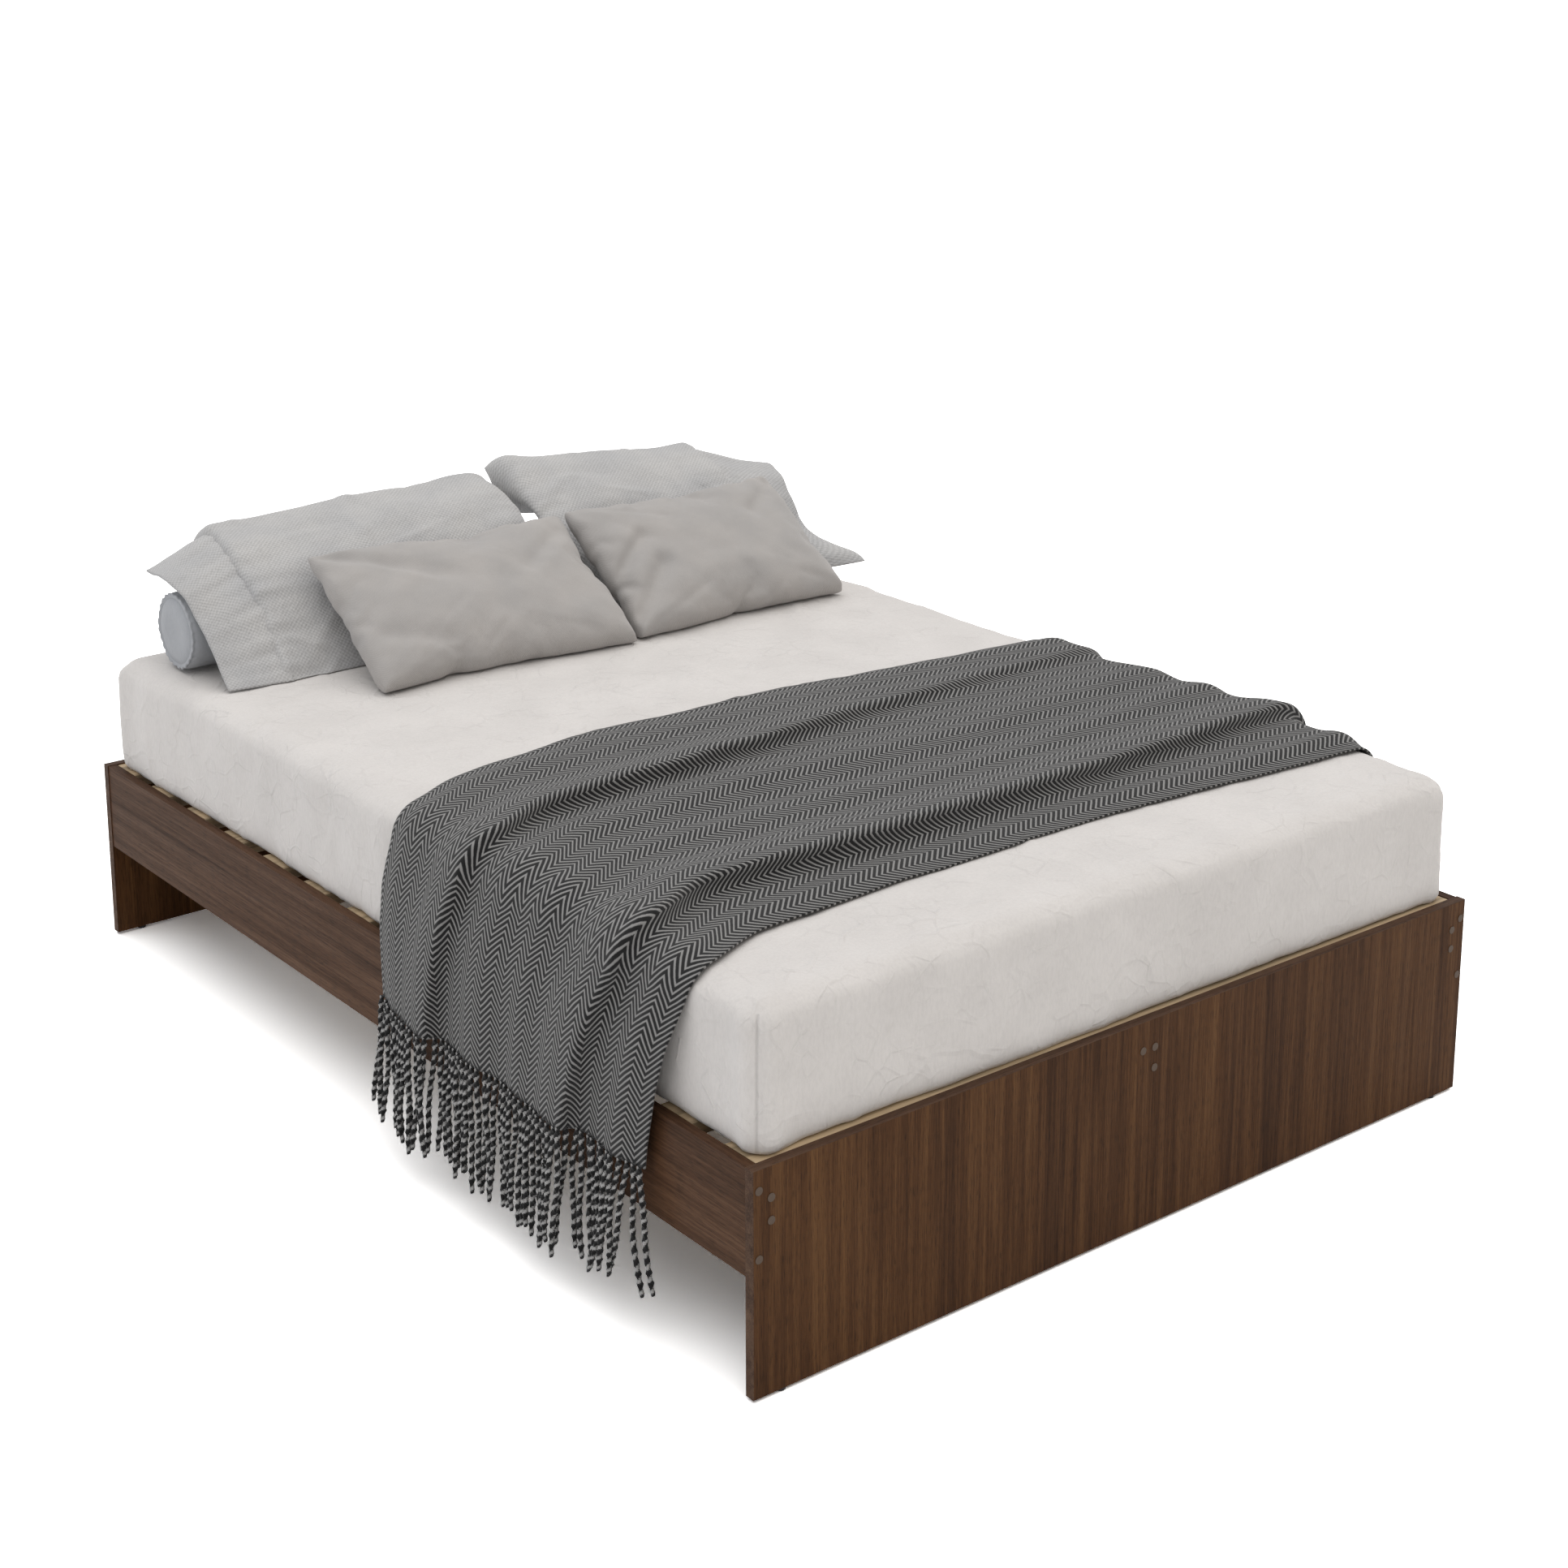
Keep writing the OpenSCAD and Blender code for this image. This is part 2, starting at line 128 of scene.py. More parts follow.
def wide_sun(name, aim, strength, spread, tint):
    """A sun that shines along aim from a disc of the sky. spread: the disc's width in degrees."""
    lamp = bpy.data.lights.new(name, "SUN")
    lamp.energy = strength
    lamp.angle = math.radians(spread)
    lamp.color = tint
    holder = bpy.data.objects.new(name, lamp)
    bpy.context.scene.collection.objects.link(holder)
    holder.rotation_euler = Vector(aim).to_track_quat("-Z", "Y").to_euler()


def white_world():
    """Light from all round, tinted by where it comes from. The camera sees it white."""
    world = bpy.data.worlds.new("studio")
    world.use_nodes = True
    tree = world.node_tree
    nodes, links = tree.nodes, tree.links
    seen = nodes.new("ShaderNodeLightPath").outputs["Is Camera Ray"]
    level = nodes.new("ShaderNodeMapRange")
    level.inputs["To Min"].default_value = FILL
    level.inputs["To Max"].default_value = BACKDROP
    links.new(seen, level.inputs["Value"])
    links.new(level.outputs["Result"], nodes["Background"].inputs["Strength"])
    place = nodes.new("ShaderNodeTexCoord").outputs["Generated"]
    turn = nodes.new("ShaderNodeVectorMath")
    turn.operation = "DOT_PRODUCT"
    turn.inputs[1].default_value = COOL_SIDE
    links.new(place, turn.inputs[0])
    share = nodes.new("ShaderNodeMapRange")
    share.inputs["From Min"].default_value = -1
    links.new(turn.outputs["Value"], share.inputs["Value"])
    light = mixed(tree, share.outputs["Result"], WARM, COOL)
    light = mixed(tree, seen, light, WHITE)
    links.new(light, nodes["Background"].inputs["Color"])
    bpy.context.scene.world = world


studio_floor()
white_world()
wide_sun("sky_panel", (-0.08, 0.05, -1), 1.75, 90, (1, 0.985, 0.965))
bpy.context.scene.view_settings.view_transform = "Standard"

# %% [markdown]
# ## A short way to write materials
# Every finish below is a small node tree. `Finish` wraps one: each method adds a node, links
# its inputs and returns its output, so that a recipe reads from top to bottom.

# %% Material helper
def srgb(r, g, b):
    """A colour given on a 0 to 255 scale, as linear light."""
    def linear(c):
        c /= 255
        return c / 12.92 if c <= 0.04045 else ((c + 0.055) / 1.055) ** 2.4
    return (linear(r), linear(g), linear(b), 1)


class Finish:
    """A material under construction. Inputs may be numbers, colours or other nodes' outputs."""

    def __init__(self, name, rough=0.5, **shader):
        self.material = bpy.data.materials.new(name)
        self.material.use_nodes = True
        self.tree = self.material.node_tree
        self.shader = self.tree.nodes["Principled BSDF"]
        self.set(Roughness=rough, **shader)

    def set(self, **inputs):
        for name, value in inputs.items():
            self.feed(self.shader.inputs[name.replace("_", " ")], value)

    def feed(self, socket, value):
        if isinstance(value, bpy.types.NodeSocket):
            self.tree.links.new(value, socket)
        elif value is not None:
            socket.default_value = value

    def node(self, kind, *inputs, **settings):
        made = self.tree.nodes.new("ShaderNode" + kind)
        for name, value in settings.items():
            setattr(made, name, value)
        for socket, value in zip(made.inputs, inputs):
            self.feed(socket, value)
        return made

    def coords(self, scale=(1, 1, 1), uv=None):
        if uv:
            source = self.node("UVMap", uv_map=uv).outputs["UV"]
        else:
            source = self.node("TexCoord").outputs["Object"]
        return self.node("Mapping", source, None, None, scale).outputs["Vector"]

    def noise(self, vector, scale, detail=2.0, rough=0.5, distort=0.0):
        made = self.node("TexNoise")
        for name, value in (("Vector", vector), ("Scale", scale), ("Detail", detail),
                            ("Roughness", rough), ("Distortion", distort)):
            self.feed(made.inputs[name], value)
        return made.outputs["Fac"]

    def math(self, operation, a, b=None, c=None):
        return self.node("Math", a, b, c, operation=operation).outputs[0]

    def ramp(self, fac, *stops):
        made = self.node("ValToRGB", fac)
        ramp = made.color_ramp
        while len(ramp.elements) < len(stops):
            ramp.elements.new(0.5)
        for element, (place, colour) in zip(ramp.elements, stops):
            element.position = place
            element.color = colour if hasattr(colour, "__len__") else grey(colour)
        return made.outputs["Color"]

    def multiplied(self, a, b):
        made = self.node("Mix", data_type="RGBA", blend_type="MULTIPLY")
        self.feed(made.inputs["Factor"], 1.0)
        for socket, value in zip([i for i in made.inputs if i.type == "RGBA"], (a, b)):
            self.feed(socket, value)
        return next(o for o in made.outputs if o.type == "RGBA")

    def bump(self, height, strength, distance, normal=None):
        made = self.node("Bump")
        for name, value in (("Height", height), ("Strength", strength), ("Distance", distance),
                            ("Normal", normal)):
            self.feed(made.inputs[name], value)
        return made.outputs["Normal"]

    def along_grain(self, along, squeeze, offset=0.0):
        """Coordinates squeezed along the grain, so that noise is drawn out into streaks."""
        scale = [1.0, 1.0, 1.0]
        scale[along] = squeeze
        plank = self.coords(scale=scale)
        if offset:
            plank = self.node("VectorMath", plank, (offset,) * 3, operation="ADD").outputs[0]
        return plank

    def map_parts(self, uv):
        """The two distances of a UV map, in metres."""
        return self.node("SeparateXYZ", self.node("UVMap", uv_map=uv).outputs["UV"]).outputs[:2]

    def wave(self, distance, period):
        """A sine along a distance, from -1 to 1."""
        return self.math("SINE", self.math("MULTIPLY", distance, 2 * math.pi / period))

    def weighed(self, a, b, share):
        """A sum of two values: this share of the first, and the rest of the second."""
        rest = self.math("MULTIPLY", b, 1 - share)
        return self.math("ADD", self.math("MULTIPLY", a, share), rest)

    def halved(self, value):
        """A value from -1 to 1 brought to 0 to 1."""
        return self.math("MULTIPLY_ADD", value, 0.5, 0.5)

    def fuzzed(self, level, fuzz, amount):
        """A level made hairy by a noise."""
        return self.math("MULTIPLY_ADD", self.math("SUBTRACT", fuzz, 0.5), amount, level)

    def shaded(self, colour, fac, dark, pale):
        """A colour multiplied by a grey that goes from one stop of a factor to another."""
        return self.multiplied(colour, self.ramp(fac, dark, pale))

    def uneven(self, place, scale, dark, pale):
        """A slow drift between two tones of a colour."""
        return self.ramp(self.noise(place, scale, 3, 0.5), (0.35, dark), (0.65, pale))


def dress(node_names, finish):
    """Gives a finish to CAD nodes through their own material slots."""
    for name in node_names:
        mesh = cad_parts[name].data
        if not mesh.materials:
            mesh.materials.append(None)
        for i in range(len(mesh.materials)):
            mesh.materials[i] = finish.material

# %% [markdown]
# ## Walnut
# The boards are faced with a walnut laminate: straight streaks some millimetres wide with fine
# lines between them, broad darker and lighter bands, and short dark pores. All of them are the
# same noise at other scales, drawn out along the grain. The grain stands upright in the end
# panels and lies level in the rails, so the recipe takes the direction of the grain.

# %% Walnut finish
def walnut(name, along, dark, mid, light, offset=0.0):
    """Walnut with its grain along one of the object's axes: 0, 1 or 2."""
    finish = Finish(name, rough=0.5, Specular_IOR_Level=0.12)
    plank = finish.along_grain(along, 0.02, offset)
    band = finish.noise(plank, 16, 2, 0.5, 0.9)
    streak = finish.noise(plank, 90, 3, 0.6, 0.6)
    line = finish.noise(plank, 420, 2, 0.6)
    pore = finish.noise(finish.along_grain(along, 0.05), 900, 1, 0.5)
    streaks = finish.weighed(streak, line, 0.62)
    tone = finish.weighed(band, streaks, 0.35)
    colour = finish.ramp(tone, (0.37, dark), (0.5, mid), (0.63, light))
    pores = finish.ramp(pore, (0.36, 0.62), (0.46, 1.0))
    colour = finish.multiplied(colour, pores)
    finish.set(Base_Color=colour)
    finish.set(Roughness=finish.ramp(streaks, (0.35, 0.58), (0.65, 0.46)))
    height = finish.math("ADD", streaks, finish.math("MULTIPLY", pores, 0.6))
    finish.set(Normal=finish.bump(height, 0.25, 0.0004))
    return finish


panel_walnut = walnut("panel_walnut", 2,
                      srgb(56, 33, 16), srgb(80, 51, 27), srgb(101, 69, 39))
rail_walnut = walnut("rail_walnut", 1,
                     srgb(56, 36, 22), srgb(78, 53, 36), srgb(98, 70, 50), offset=3.1)
across_walnut = walnut("across_walnut", 0,
                       srgb(60, 42, 31), srgb(82, 60, 46), srgb(100, 76, 58), offset=1.7)
dress(["foot_panel", "head_panel"], panel_walnut)
dress(["left_rail", "right_rail", "left_rail_edging", "right_rail_edging"], rail_walnut)
dress(["foot_panel_edging", "head_panel_edging"], across_walnut)

# %% [markdown]
# ## Slats, bearers and small fittings
# The slats are planed softwood: pale, with faint darker lines. The fittings are small, and
# each gets the plain finish that the real one has, with a little unevenness.

# %% Softwood, webbing, steel and plastic
def softwood(name, along, tint, offset=0.0):
    """Planed softwood with its grain along one of the object's axes."""
    finish = Finish(name, rough=0.6)
    plank = finish.along_grain(along, 0.03, offset)
    ring = finish.noise(plank, 60, 3, 0.55, 0.6)
    fibre = finish.noise(plank, 500, 2, 0.6)
    light = srgb(*tint)
    dark = srgb(*(c * 0.8 for c in tint))
    colour = finish.ramp(ring, (0.38, dark), (0.62, light))
    colour = finish.shaded(colour, fibre, (0.3, 0.86), (0.6, 1.0))
    finish.set(Base_Color=colour, Normal=finish.bump(fibre, 0.2, 0.0003))
    return finish


def speckled(name, low, high, rough, scale, **shader):
    """A plain finish that flecks finely between two colours."""
    finish = Finish(name, rough=rough, **shader)
    grain = finish.noise(finish.coords(), scale, 2)
    finish.set(Base_Color=finish.ramp(grain, (0.35, srgb(*low)), (0.65, srgb(*high))))
    finish.set(Normal=finish.bump(grain, 0.15, 0.0002))
    return finish


slat_names = sorted(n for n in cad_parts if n.startswith("slat_") and n[5:].isdigit())
for i, name in enumerate(slat_names):
    dress([name], softwood("slat_wood_" + name[5:], 0, (196, 172, 138), offset=0.37 * i))
dress(["left_bearer", "right_bearer", "beam_board_left", "beam_board_right"],
      softwood("bearer_wood", 1, (190, 166, 132)))
dress(["front_centre_leg", "rear_centre_leg"], softwood("leg_wood", 2, (190, 166, 132)))
dress(["rail_dowels", "leg_dowels"], softwood("dowel_wood", 1, (206, 182, 140)))
dress(["slat_strap_left", "slat_strap_right"],
      speckled("strap_webbing", (196, 190, 176), (222, 217, 205), 0.9, 1500))
dress(["foot_connector_screws", "head_connector_screws"],
      speckled("zinc_steel", (150, 152, 156), (186, 188, 190), 0.35, 1200, Metallic=1.0))
dress(["foot_screw_caps", "head_screw_caps"],
      speckled("cap_plastic", (74, 57, 43), (85, 67, 51), 0.5, 2000))
dress(["panel_glides", "leg_glides"],
      speckled("glide_plastic", (26, 26, 29), (36, 36, 40), 0.45, 1500))
print("finished", len(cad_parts), "CAD nodes")

# %% [markdown]
# ## Working on soft pieces
# A cushion or a mattress starts as a box or a sheet with an even grid of small faces. It is then
# shaped as clay is: every move below takes all its points at once, as a table of numbers, and
# gives them back moved. These helpers make the start and the end of that work short. The last
# three are for lines: profiles and sections are given by a few points and then rubbed smooth.

# %% Helpers for soft pieces
def gridded_box(size, cell):
    """A box of even square faces, centred on the origin."""
    bm = bmesh.new()
    bmesh.ops.create_cube(bm, size=1)
    for axis in range(3):
        along = [e for e in bm.edges if abs((e.verts[0].co - e.verts[1].co)[axis]) > 1e-6]
        bmesh.ops.subdivide_edges(bm, edges=along, cuts=max(1, round(size[axis] / cell) - 1),
                                  use_grid_fill=True)
    bmesh.ops.scale(bm, verts=bm.verts, vec=size)
    return bm


def points(mesh, what="co"):
    """A row of three numbers for each point of a mesh: its place, or its normal."""
    out = np.zeros(len(mesh.vertices) * 3, np.float32)
    mesh.vertices.foreach_get(what, out)
    return out.reshape(-1, 3).astype(float)


def normals(mesh):
    return points(mesh, "normal")


def set_points(mesh, co):
    mesh.vertices.foreach_set("co", np.asarray(co, np.float32).ravel())
    mesh.update()


def soft_piece(name, bm, finish, body, slot, *nodes):
    """Turns a bmesh into a smooth-shaded piece that rides on a body and stands for CAD nodes."""
    mesh = bpy.data.meshes.new(name)
    bm.to_mesh(mesh)
    bm.free()
    mesh.shade_smooth()
    mesh.materials.append(finish.material)
    piece = bpy.data.objects.new(name, mesh)
    bpy.context.scene.collection.objects.link(piece)
    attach(piece, body)
    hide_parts(*nodes)
    return piece


def lumps(co, scale, seed):
    """Smooth random values from about -1 to 1, with soft lumps 1 / scale apart."""
    shift = Vector((seed * 7.3, seed * 3.1, seed * 5.7))
    return np.array([noise.noise(Vector(p) * scale + shift) for p in co]) * 1.6


def smoothstep(x, low, high):
    """0 below low, 1 above high and a soft slope between them."""
    t = np.clip((x - low) / (high - low), 0, 1)
    return t * t * (3 - 2 * t)


def bell(x, width):
    """1 where x is 0, falling softly to nothing some widths away."""
    return np.exp(-(x / width) ** 2)


def run_length(line):
    """The distance along a line from its first point to each of its points."""
    return np.r_[0, np.cumsum(np.linalg.norm(np.diff(line, axis=0), axis=1))]


def spaced(line, at):
    """Points of a line at the given distances along it."""
    length = run_length(line)
    return np.c_[np.interp(at, length, line[:, 0]), np.interp(at, length, line[:, 1])]


def rubbed(line, reach):
    """A line with its corners rubbed off: each point is averaged with its neighbours in reach."""
    weight = np.exp(-np.linspace(-2, 2, 2 * reach + 1) ** 2)
    wide = [np.pad(line[:, axis], reach, mode="reflect", reflect_type="odd") for axis in range(2)]
    return np.c_[tuple(np.convolve(v, weight / weight.sum(), mode="valid") for v in wide)]

# %% [markdown]
# ## Linen
# Washed linen is matt, a little uneven in tone, and covered in fine creases that run straight
# for a few centimetres and then stop. The edges of a cell pattern make such lines. A slow noise
# hides most of them, so that they come in patches, and the weave lies over everything. The sheet
# also has a sewn seam down each corner, drawn as a thin groove with painted shade along it.

# %% Linen finish
def linen(name, pale, dark, crease=1.0, weave=1.0, seam=None):
    """seam: the |y| - |x| of a seam down the corners, and how high it starts."""
    finish = Finish(name, rough=0.92, Sheen_Weight=0.25, Sheen_Roughness=0.6)
    place = finish.coords()
    bend = finish.node("TexNoise")
    finish.feed(bend.inputs["Vector"], place)
    finish.feed(bend.inputs["Scale"], 6.0)
    bent = bend.outputs["Color"]
    for how, value in (("SUBTRACT", (0.5,) * 3), ("MULTIPLY", (0.09,) * 3), ("ADD", place)):
        bent = finish.node("VectorMath", bent, value, operation=how).outputs[0]
    creases = 0
    for scale, share in ((11, 0.55), (23, 0.45)):
        cells = finish.node("TexVoronoi", feature="DISTANCE_TO_EDGE")
        finish.feed(cells.inputs["Vector"], bent)
        finish.feed(cells.inputs["Scale"], scale)
        line = finish.math("SUBTRACT", 1, finish.math("MULTIPLY", cells.outputs["Distance"], 14))
        line = finish.math("MAXIMUM", line, 0)
        patch = finish.noise(place, scale * 0.7, 2, 0.6)
        patch = finish.ramp(patch, (0.42, 0.0), (0.6, share))
        creases = finish.math("ADD", creases, finish.math("MULTIPLY", line, patch))
    slub = finish.noise(finish.coords(scale=(1, 1, 0.35)), 240, 3, 0.7)
    thread = finish.noise(place, 1100, 2, 0.6)
    colour = finish.uneven(place, 9, dark, pale)
    colour = finish.shaded(colour, slub, (0.3, 0.93), (0.6, 1.0))
    body = finish.bump(finish.noise(place, 38, 4, 0.6), 0.2, 0.003)
    body = finish.bump(creases, 0.55 * crease, 0.0022, body)
    if seam:
        x, y, z = finish.node("SeparateXYZ", place).outputs
        diagonal = finish.math("SUBTRACT", finish.math("ABSOLUTE", y), finish.math("ABSOLUTE", x))
        away = finish.math("ABSOLUTE", finish.math("SUBTRACT", diagonal, seam[0]))
        below = finish.math("LESS_THAN", z, seam[1])
        near = finish.math("MULTIPLY", finish.ramp(away, (0.0008, 1.0), (0.0028, 0.0)), below)
        # painted shade: the colour is darkened along the seam, as the shade in its groove would
        # darken it
        colour = finish.shaded(colour, near, (0.0, 1.0), (1.0, 0.84))
        body = finish.bump(finish.math("SUBTRACT", 1, near), 0.6, 0.002, body)
    finish.set(Base_Color=colour)
    body = finish.bump(finish.math("ADD", slub, thread), 0.35 * weave, 0.0006, body)
    finish.set(Normal=body)
    return finish


sheet_linen = linen("sheet_linen", srgb(213, 209, 206), srgb(207, 203, 200), 1.6,
                    seam=(0.255, 0.520))

# %% [markdown]
# ## Mattress in its fitted sheet
# The CAD solid is a box with round edges. A real mattress is crowned on top and bulges at the
# sides, the elastic of the sheet pulls its lower edge in, and at each corner the sheet is sewn in
# a short upright dart. The box is rounded by pulling every point on to a ball that rolls inside
# it. Then come the crown, the tuck, the darts, and the long soft creases of pulled cloth.

# %% Mattress
def rounded(co, half, radius):
    """Points of a box pulled on to balls of the given radius, one radius for each point."""
    core = np.clip(co, -(half - radius), half - radius)
    out = co - core
    length = np.linalg.norm(out, axis=1, keepdims=True)
    return core + out / np.maximum(length, 1e-9) * radius


def pulled_creases(co, normal, count, seed, long=(0.05, 0.22), wide=(0.006, 0.013), high=0.0016):
    """Straight soft creases of random length and place, as heights along the normal."""
    draw = np.random.default_rng(seed)
    height = np.zeros(len(co))
    for centre in draw.integers(0, len(co), count):
        face = normal[centre]
        lean = draw.normal(size=3) + np.array([0, 0, 1.2]) * (abs(face[2]) < 0.5)
        lean -= face * lean.dot(face)
        lean /= np.linalg.norm(lean)
        across = np.cross(face, lean)
        length, width = draw.uniform(*long), draw.uniform(*wide)
        away = co - co[centre]
        share = np.clip(1 - np.abs(away @ lean) / length, 0, 1)
        near = bell(away @ across, width * (0.4 + 0.6 * share))
        height += draw.uniform(-0.6, 1) * high * near * share * (np.abs(away @ face) < 0.06)
    return height


def mattress():
    """The mattress in its sheet, from a gridded box. level: -1 at its bottom, 1 at its top.
    side: 1 where the surface stands upright. spread: 1 in the middle, 0 at the edges."""
    low, high = (np.array(v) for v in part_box("mattress"))
    half, centre = (high - low) / 2, (high + low) / 2
    bulge, crown, tuck, overfill, cell = 0.005, 0.005, 0.001, 0.006, 0.0095
    core = half - [bulge, bulge, 0]
    piece = soft_piece("fitted_sheet", gridded_box(2 * core, cell), sheet_linen,
                       "mattress", "sheet_linen", "mattress")
    co = points(piece.data)
    # the lower edge is sharp, the sides are a little rounder and the top edge is full
    radius = 0.007 + 0.008 * smoothstep(co[:, 2:3] / half[2], -1, -0.7)
    radius += 0.022 * smoothstep(co[:, 2:3] / half[2], 0.45, 1.0)
    co = rounded(co, core, radius)
    set_points(piece.data, co + centre)
    normal = normals(piece.data)
    level = co[:, 2] / half[2]
    side = np.linalg.norm(normal[:, :2], axis=1)
    spread = (1 - (co[:, 0] / half[0]) ** 4) * (1 - (co[:, 1] / half[1]) ** 4)
    lift = side * bulge * (1 - level ** 8)
    lift += np.maximum(normal[:, 2], 0) * crown * (spread - 0.6)
    lift -= side * tuck * smoothstep(-level, 0.6, 1.0)
    # broad swells first, then finer lumps, then upright ripples on the sides
    lift += 0.0018 * lumps(co, 3.2, 1) + 0.0010 * lumps(co * [1, 1, 0.45], 9, 2) * (0.5 + side)
    lift += 0.0007 * lumps(co * [1, 1, 0.6], 27, 3)
    lift += 0.0036 * side * lumps(co * [1, 1, 0.22], 13, 7) * (1 - level ** 4)
    lift += pulled_creases(co, normal, 460, 4, high=0.0032)
    # a dart: a groove down the corner with a soft ridge on each side of it
    inset = half[:2] - np.abs(co[:, :2])
    beside = inset[:, 0] - inset[:, 1]
    corner = side * (inset.min(axis=1) < 0.02) * (inset.max(axis=1) < 0.06)
    dart = 0.004 * bell(np.abs(beside) - 0.026, 0.012) - 0.006 * bell(beside, 0.008)
    lift += corner * dart * smoothstep(0.86 - level, 0, 0.25)
    co = co + centre + normal * lift[:, None]
    co[:, 2] = np.clip(co[:, 2], low[2], high[2] + overfill)
    set_points(piece.data, co)
    print("fitted_sheet", len(piece.data.polygons), "faces")
    return piece


fitted_sheet = mattress()

# %% [markdown]
# ## Herringbone wool
# The throw is woven from thick black and white yarns. In a herringbone the diagonal lines of the
# twill turn back at every column, so the pattern needs two numbers at each point: how far along
# the cloth and how far across it. The throw has a UV map in metres for that. A ping-pong of the
# distance across turns the diagonals back, and a sine of the sum draws the lines.

# %% Wool finish
COLUMN = 0.0235   # width of a column of the herringbone
LINE = 0.0104     # from one diagonal line to the next
PLY = 0.0031      # from one thread to the next
TWIST = 0.011     # one turn of a fringe yarn


def wool():
    """Dark and pale yarns in a herringbone, on the cloth's own map."""
    finish = Finish("throw_wool", rough=0.95, Sheen_Weight=0.15, Sheen_Roughness=0.5)
    along, across = finish.map_parts("cloth")
    wander = finish.noise(finish.coords(uv="cloth"), 60, 2)
    wander = finish.math("MULTIPLY", finish.math("SUBTRACT", wander, 0.5), 0.0016)
    back = finish.math("PINGPONG", across, COLUMN)
    turned = finish.math("MULTIPLY_ADD", back, 1.05, finish.math("ADD", along, wander))
    wave = finish.wave(turned, LINE)
    ply = finish.wave(finish.math("MULTIPLY_ADD", back, -2.2, along), PLY)
    fuzz = finish.noise(finish.coords(uv="cloth"), 900, 3, 0.7)
    level = finish.fuzzed(finish.math("MULTIPLY_ADD", ply, 0.22, wave), fuzz, 1.3)
    level = finish.halved(level)
    colour = finish.ramp(level, (0.44, srgb(7, 7, 8)), (0.60, srgb(44, 44, 46)),
                         (0.80, srgb(138, 137, 136)))
    finish.set(Base_Color=colour)
    thread = finish.math("MULTIPLY_ADD", finish.math("ABSOLUTE", wave), 0.6, level)
    finish.set(Normal=finish.bump(thread, 0.6, 0.0012))
    return finish


def twisted_yarn():
    """The same yarns twisted together, on a map that winds round the cord."""
    finish = Finish("fringe_yarn", rough=0.95, Sheen_Weight=0.15, Sheen_Roughness=0.5)
    around, down = finish.map_parts("yarn")
    wave = finish.wave(finish.math("MULTIPLY_ADD", around, TWIST, down), TWIST)
    strand = finish.wave(finish.math("MULTIPLY_ADD", around, -0.012, down), 0.004)
    fuzz = finish.noise(finish.coords(), 700, 3, 0.7)
    level = finish.fuzzed(finish.math("MULTIPLY_ADD", strand, 0.25, wave), fuzz, 1.6)
    level = finish.halved(level)
    colour = finish.ramp(level, (0.42, srgb(10, 10, 11)), (0.62, srgb(46, 46, 48)),
                         (0.85, srgb(165, 164, 163)))
    finish.set(Base_Color=colour)
    finish.set(Normal=finish.bump(level, 0.6, 0.001))
    return finish


throw_wool = wool()
fringe_yarn = twisted_yarn()

# %% [markdown]
# ## The throw
# The throw lies across the bed in loose folds that someone has pushed together. Its section
# across the bed is a line: up from the left hem, over the edge of the mattress, across the top
# and down on the right. Along the bed it is a row of waves. Each fold is a crest that wanders
# along the section, steep towards the foot and gentle towards the head. The points of a row are
# spaced evenly along its cloth, waves included, so the weave keeps its true width in every fold.

# %% Section of the throw
MATTRESS_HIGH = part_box("mattress")[1]
LEFT_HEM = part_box("throw_fringe_left")[1].z + 0.008
RIGHT_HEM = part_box("throw_fringe_right")[1].z + 0.004
RAIL_FACE = -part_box("left_rail")[0].x
RAIL_GAP = 0.002
BESIDE_RAIL, BELOW = 0.70, 0.345   # past this x and below this z the cloth hangs by a rail


def throw_section(step=0.002):
    """Points (x, z) from the left hem to the right hem, evenly spaced, and their distances."""
    # edge: radius of the turn over the mattress; side and hang: x of the cloth above and below
    edge, top = 0.043, MATTRESS_HIGH.z
    side, hang = MATTRESS_HIGH.x + 0.004, RAIL_FACE + 0.011
    turn = np.radians(np.linspace(0, 90, 24))
    left = np.c_[-(side - edge) - edge * np.cos(turn), top - edge + edge * np.sin(turn)]
    right = left[::-1] * [-1, 1]
    line = np.vstack([[-hang, LEFT_HEM], [-hang, top - 0.17], [-hang + 0.006, top - 0.11],
                      left, right, [hang - 0.006, RIGHT_HEM]])
    even = np.arange(0, run_length(line)[-1], step)
    return rubbed(spaced(line, even), 8), even


section, section_at = throw_section()
CLOTH_LENGTH = float(section_at[-1])
print("the throw is", round(CLOTH_LENGTH, 3), "m long from hem to hem")

# %% [markdown]
# Each fold is given at six stations along the section: the left hem, the edge of the mattress,
# three places on the top, and the right edge. Its row holds the places of the crest along the bed
# in metres, its heights there in millimetres, how far it reaches behind and in front in metres,
# and how far the crest leans towards the foot, as a share of its height.

# %% Folds of the throw
STATIONS = np.array([0.0, 0.30, 0.42, 0.70, 1.10, CLOTH_LENGTH - 0.14])
FOLDS = [
    # places of the crest, its heights, reach behind, reach in front, lean
    ((-0.120, -0.120, -0.060, -0.050, -0.060, -0.050), (6, 5, 6, 7, 8, 10), 0.060, 0.060, 0.0),
    ((-0.215, -0.290, -0.236, -0.222, -0.170, -0.150), (25, 26, 32, 34, 20, 11), 0.075, 0.019, 0.5),
    ((-0.350, -0.395, -0.345, -0.320, -0.355, -0.310), (15, 14, 15, 17, 14, 12), 0.070, 0.060, 0.2),
    ((-0.465, -0.490, -0.450, -0.455, -0.490, -0.440), (9, 8, 8, 9, 11, 16), 0.050, 0.040, 0.0),
    ((-0.570, -0.680, -0.618, -0.632, -0.626, -0.600), (26, 27, 32, 35, 32, 27), 0.085, 0.019, 0.6),
    ((-0.690, -0.770, -0.740, -0.735, -0.730, -0.735), (8, 5, 3, 2, 3, 9), 0.030, 0.040, 0.0),
]
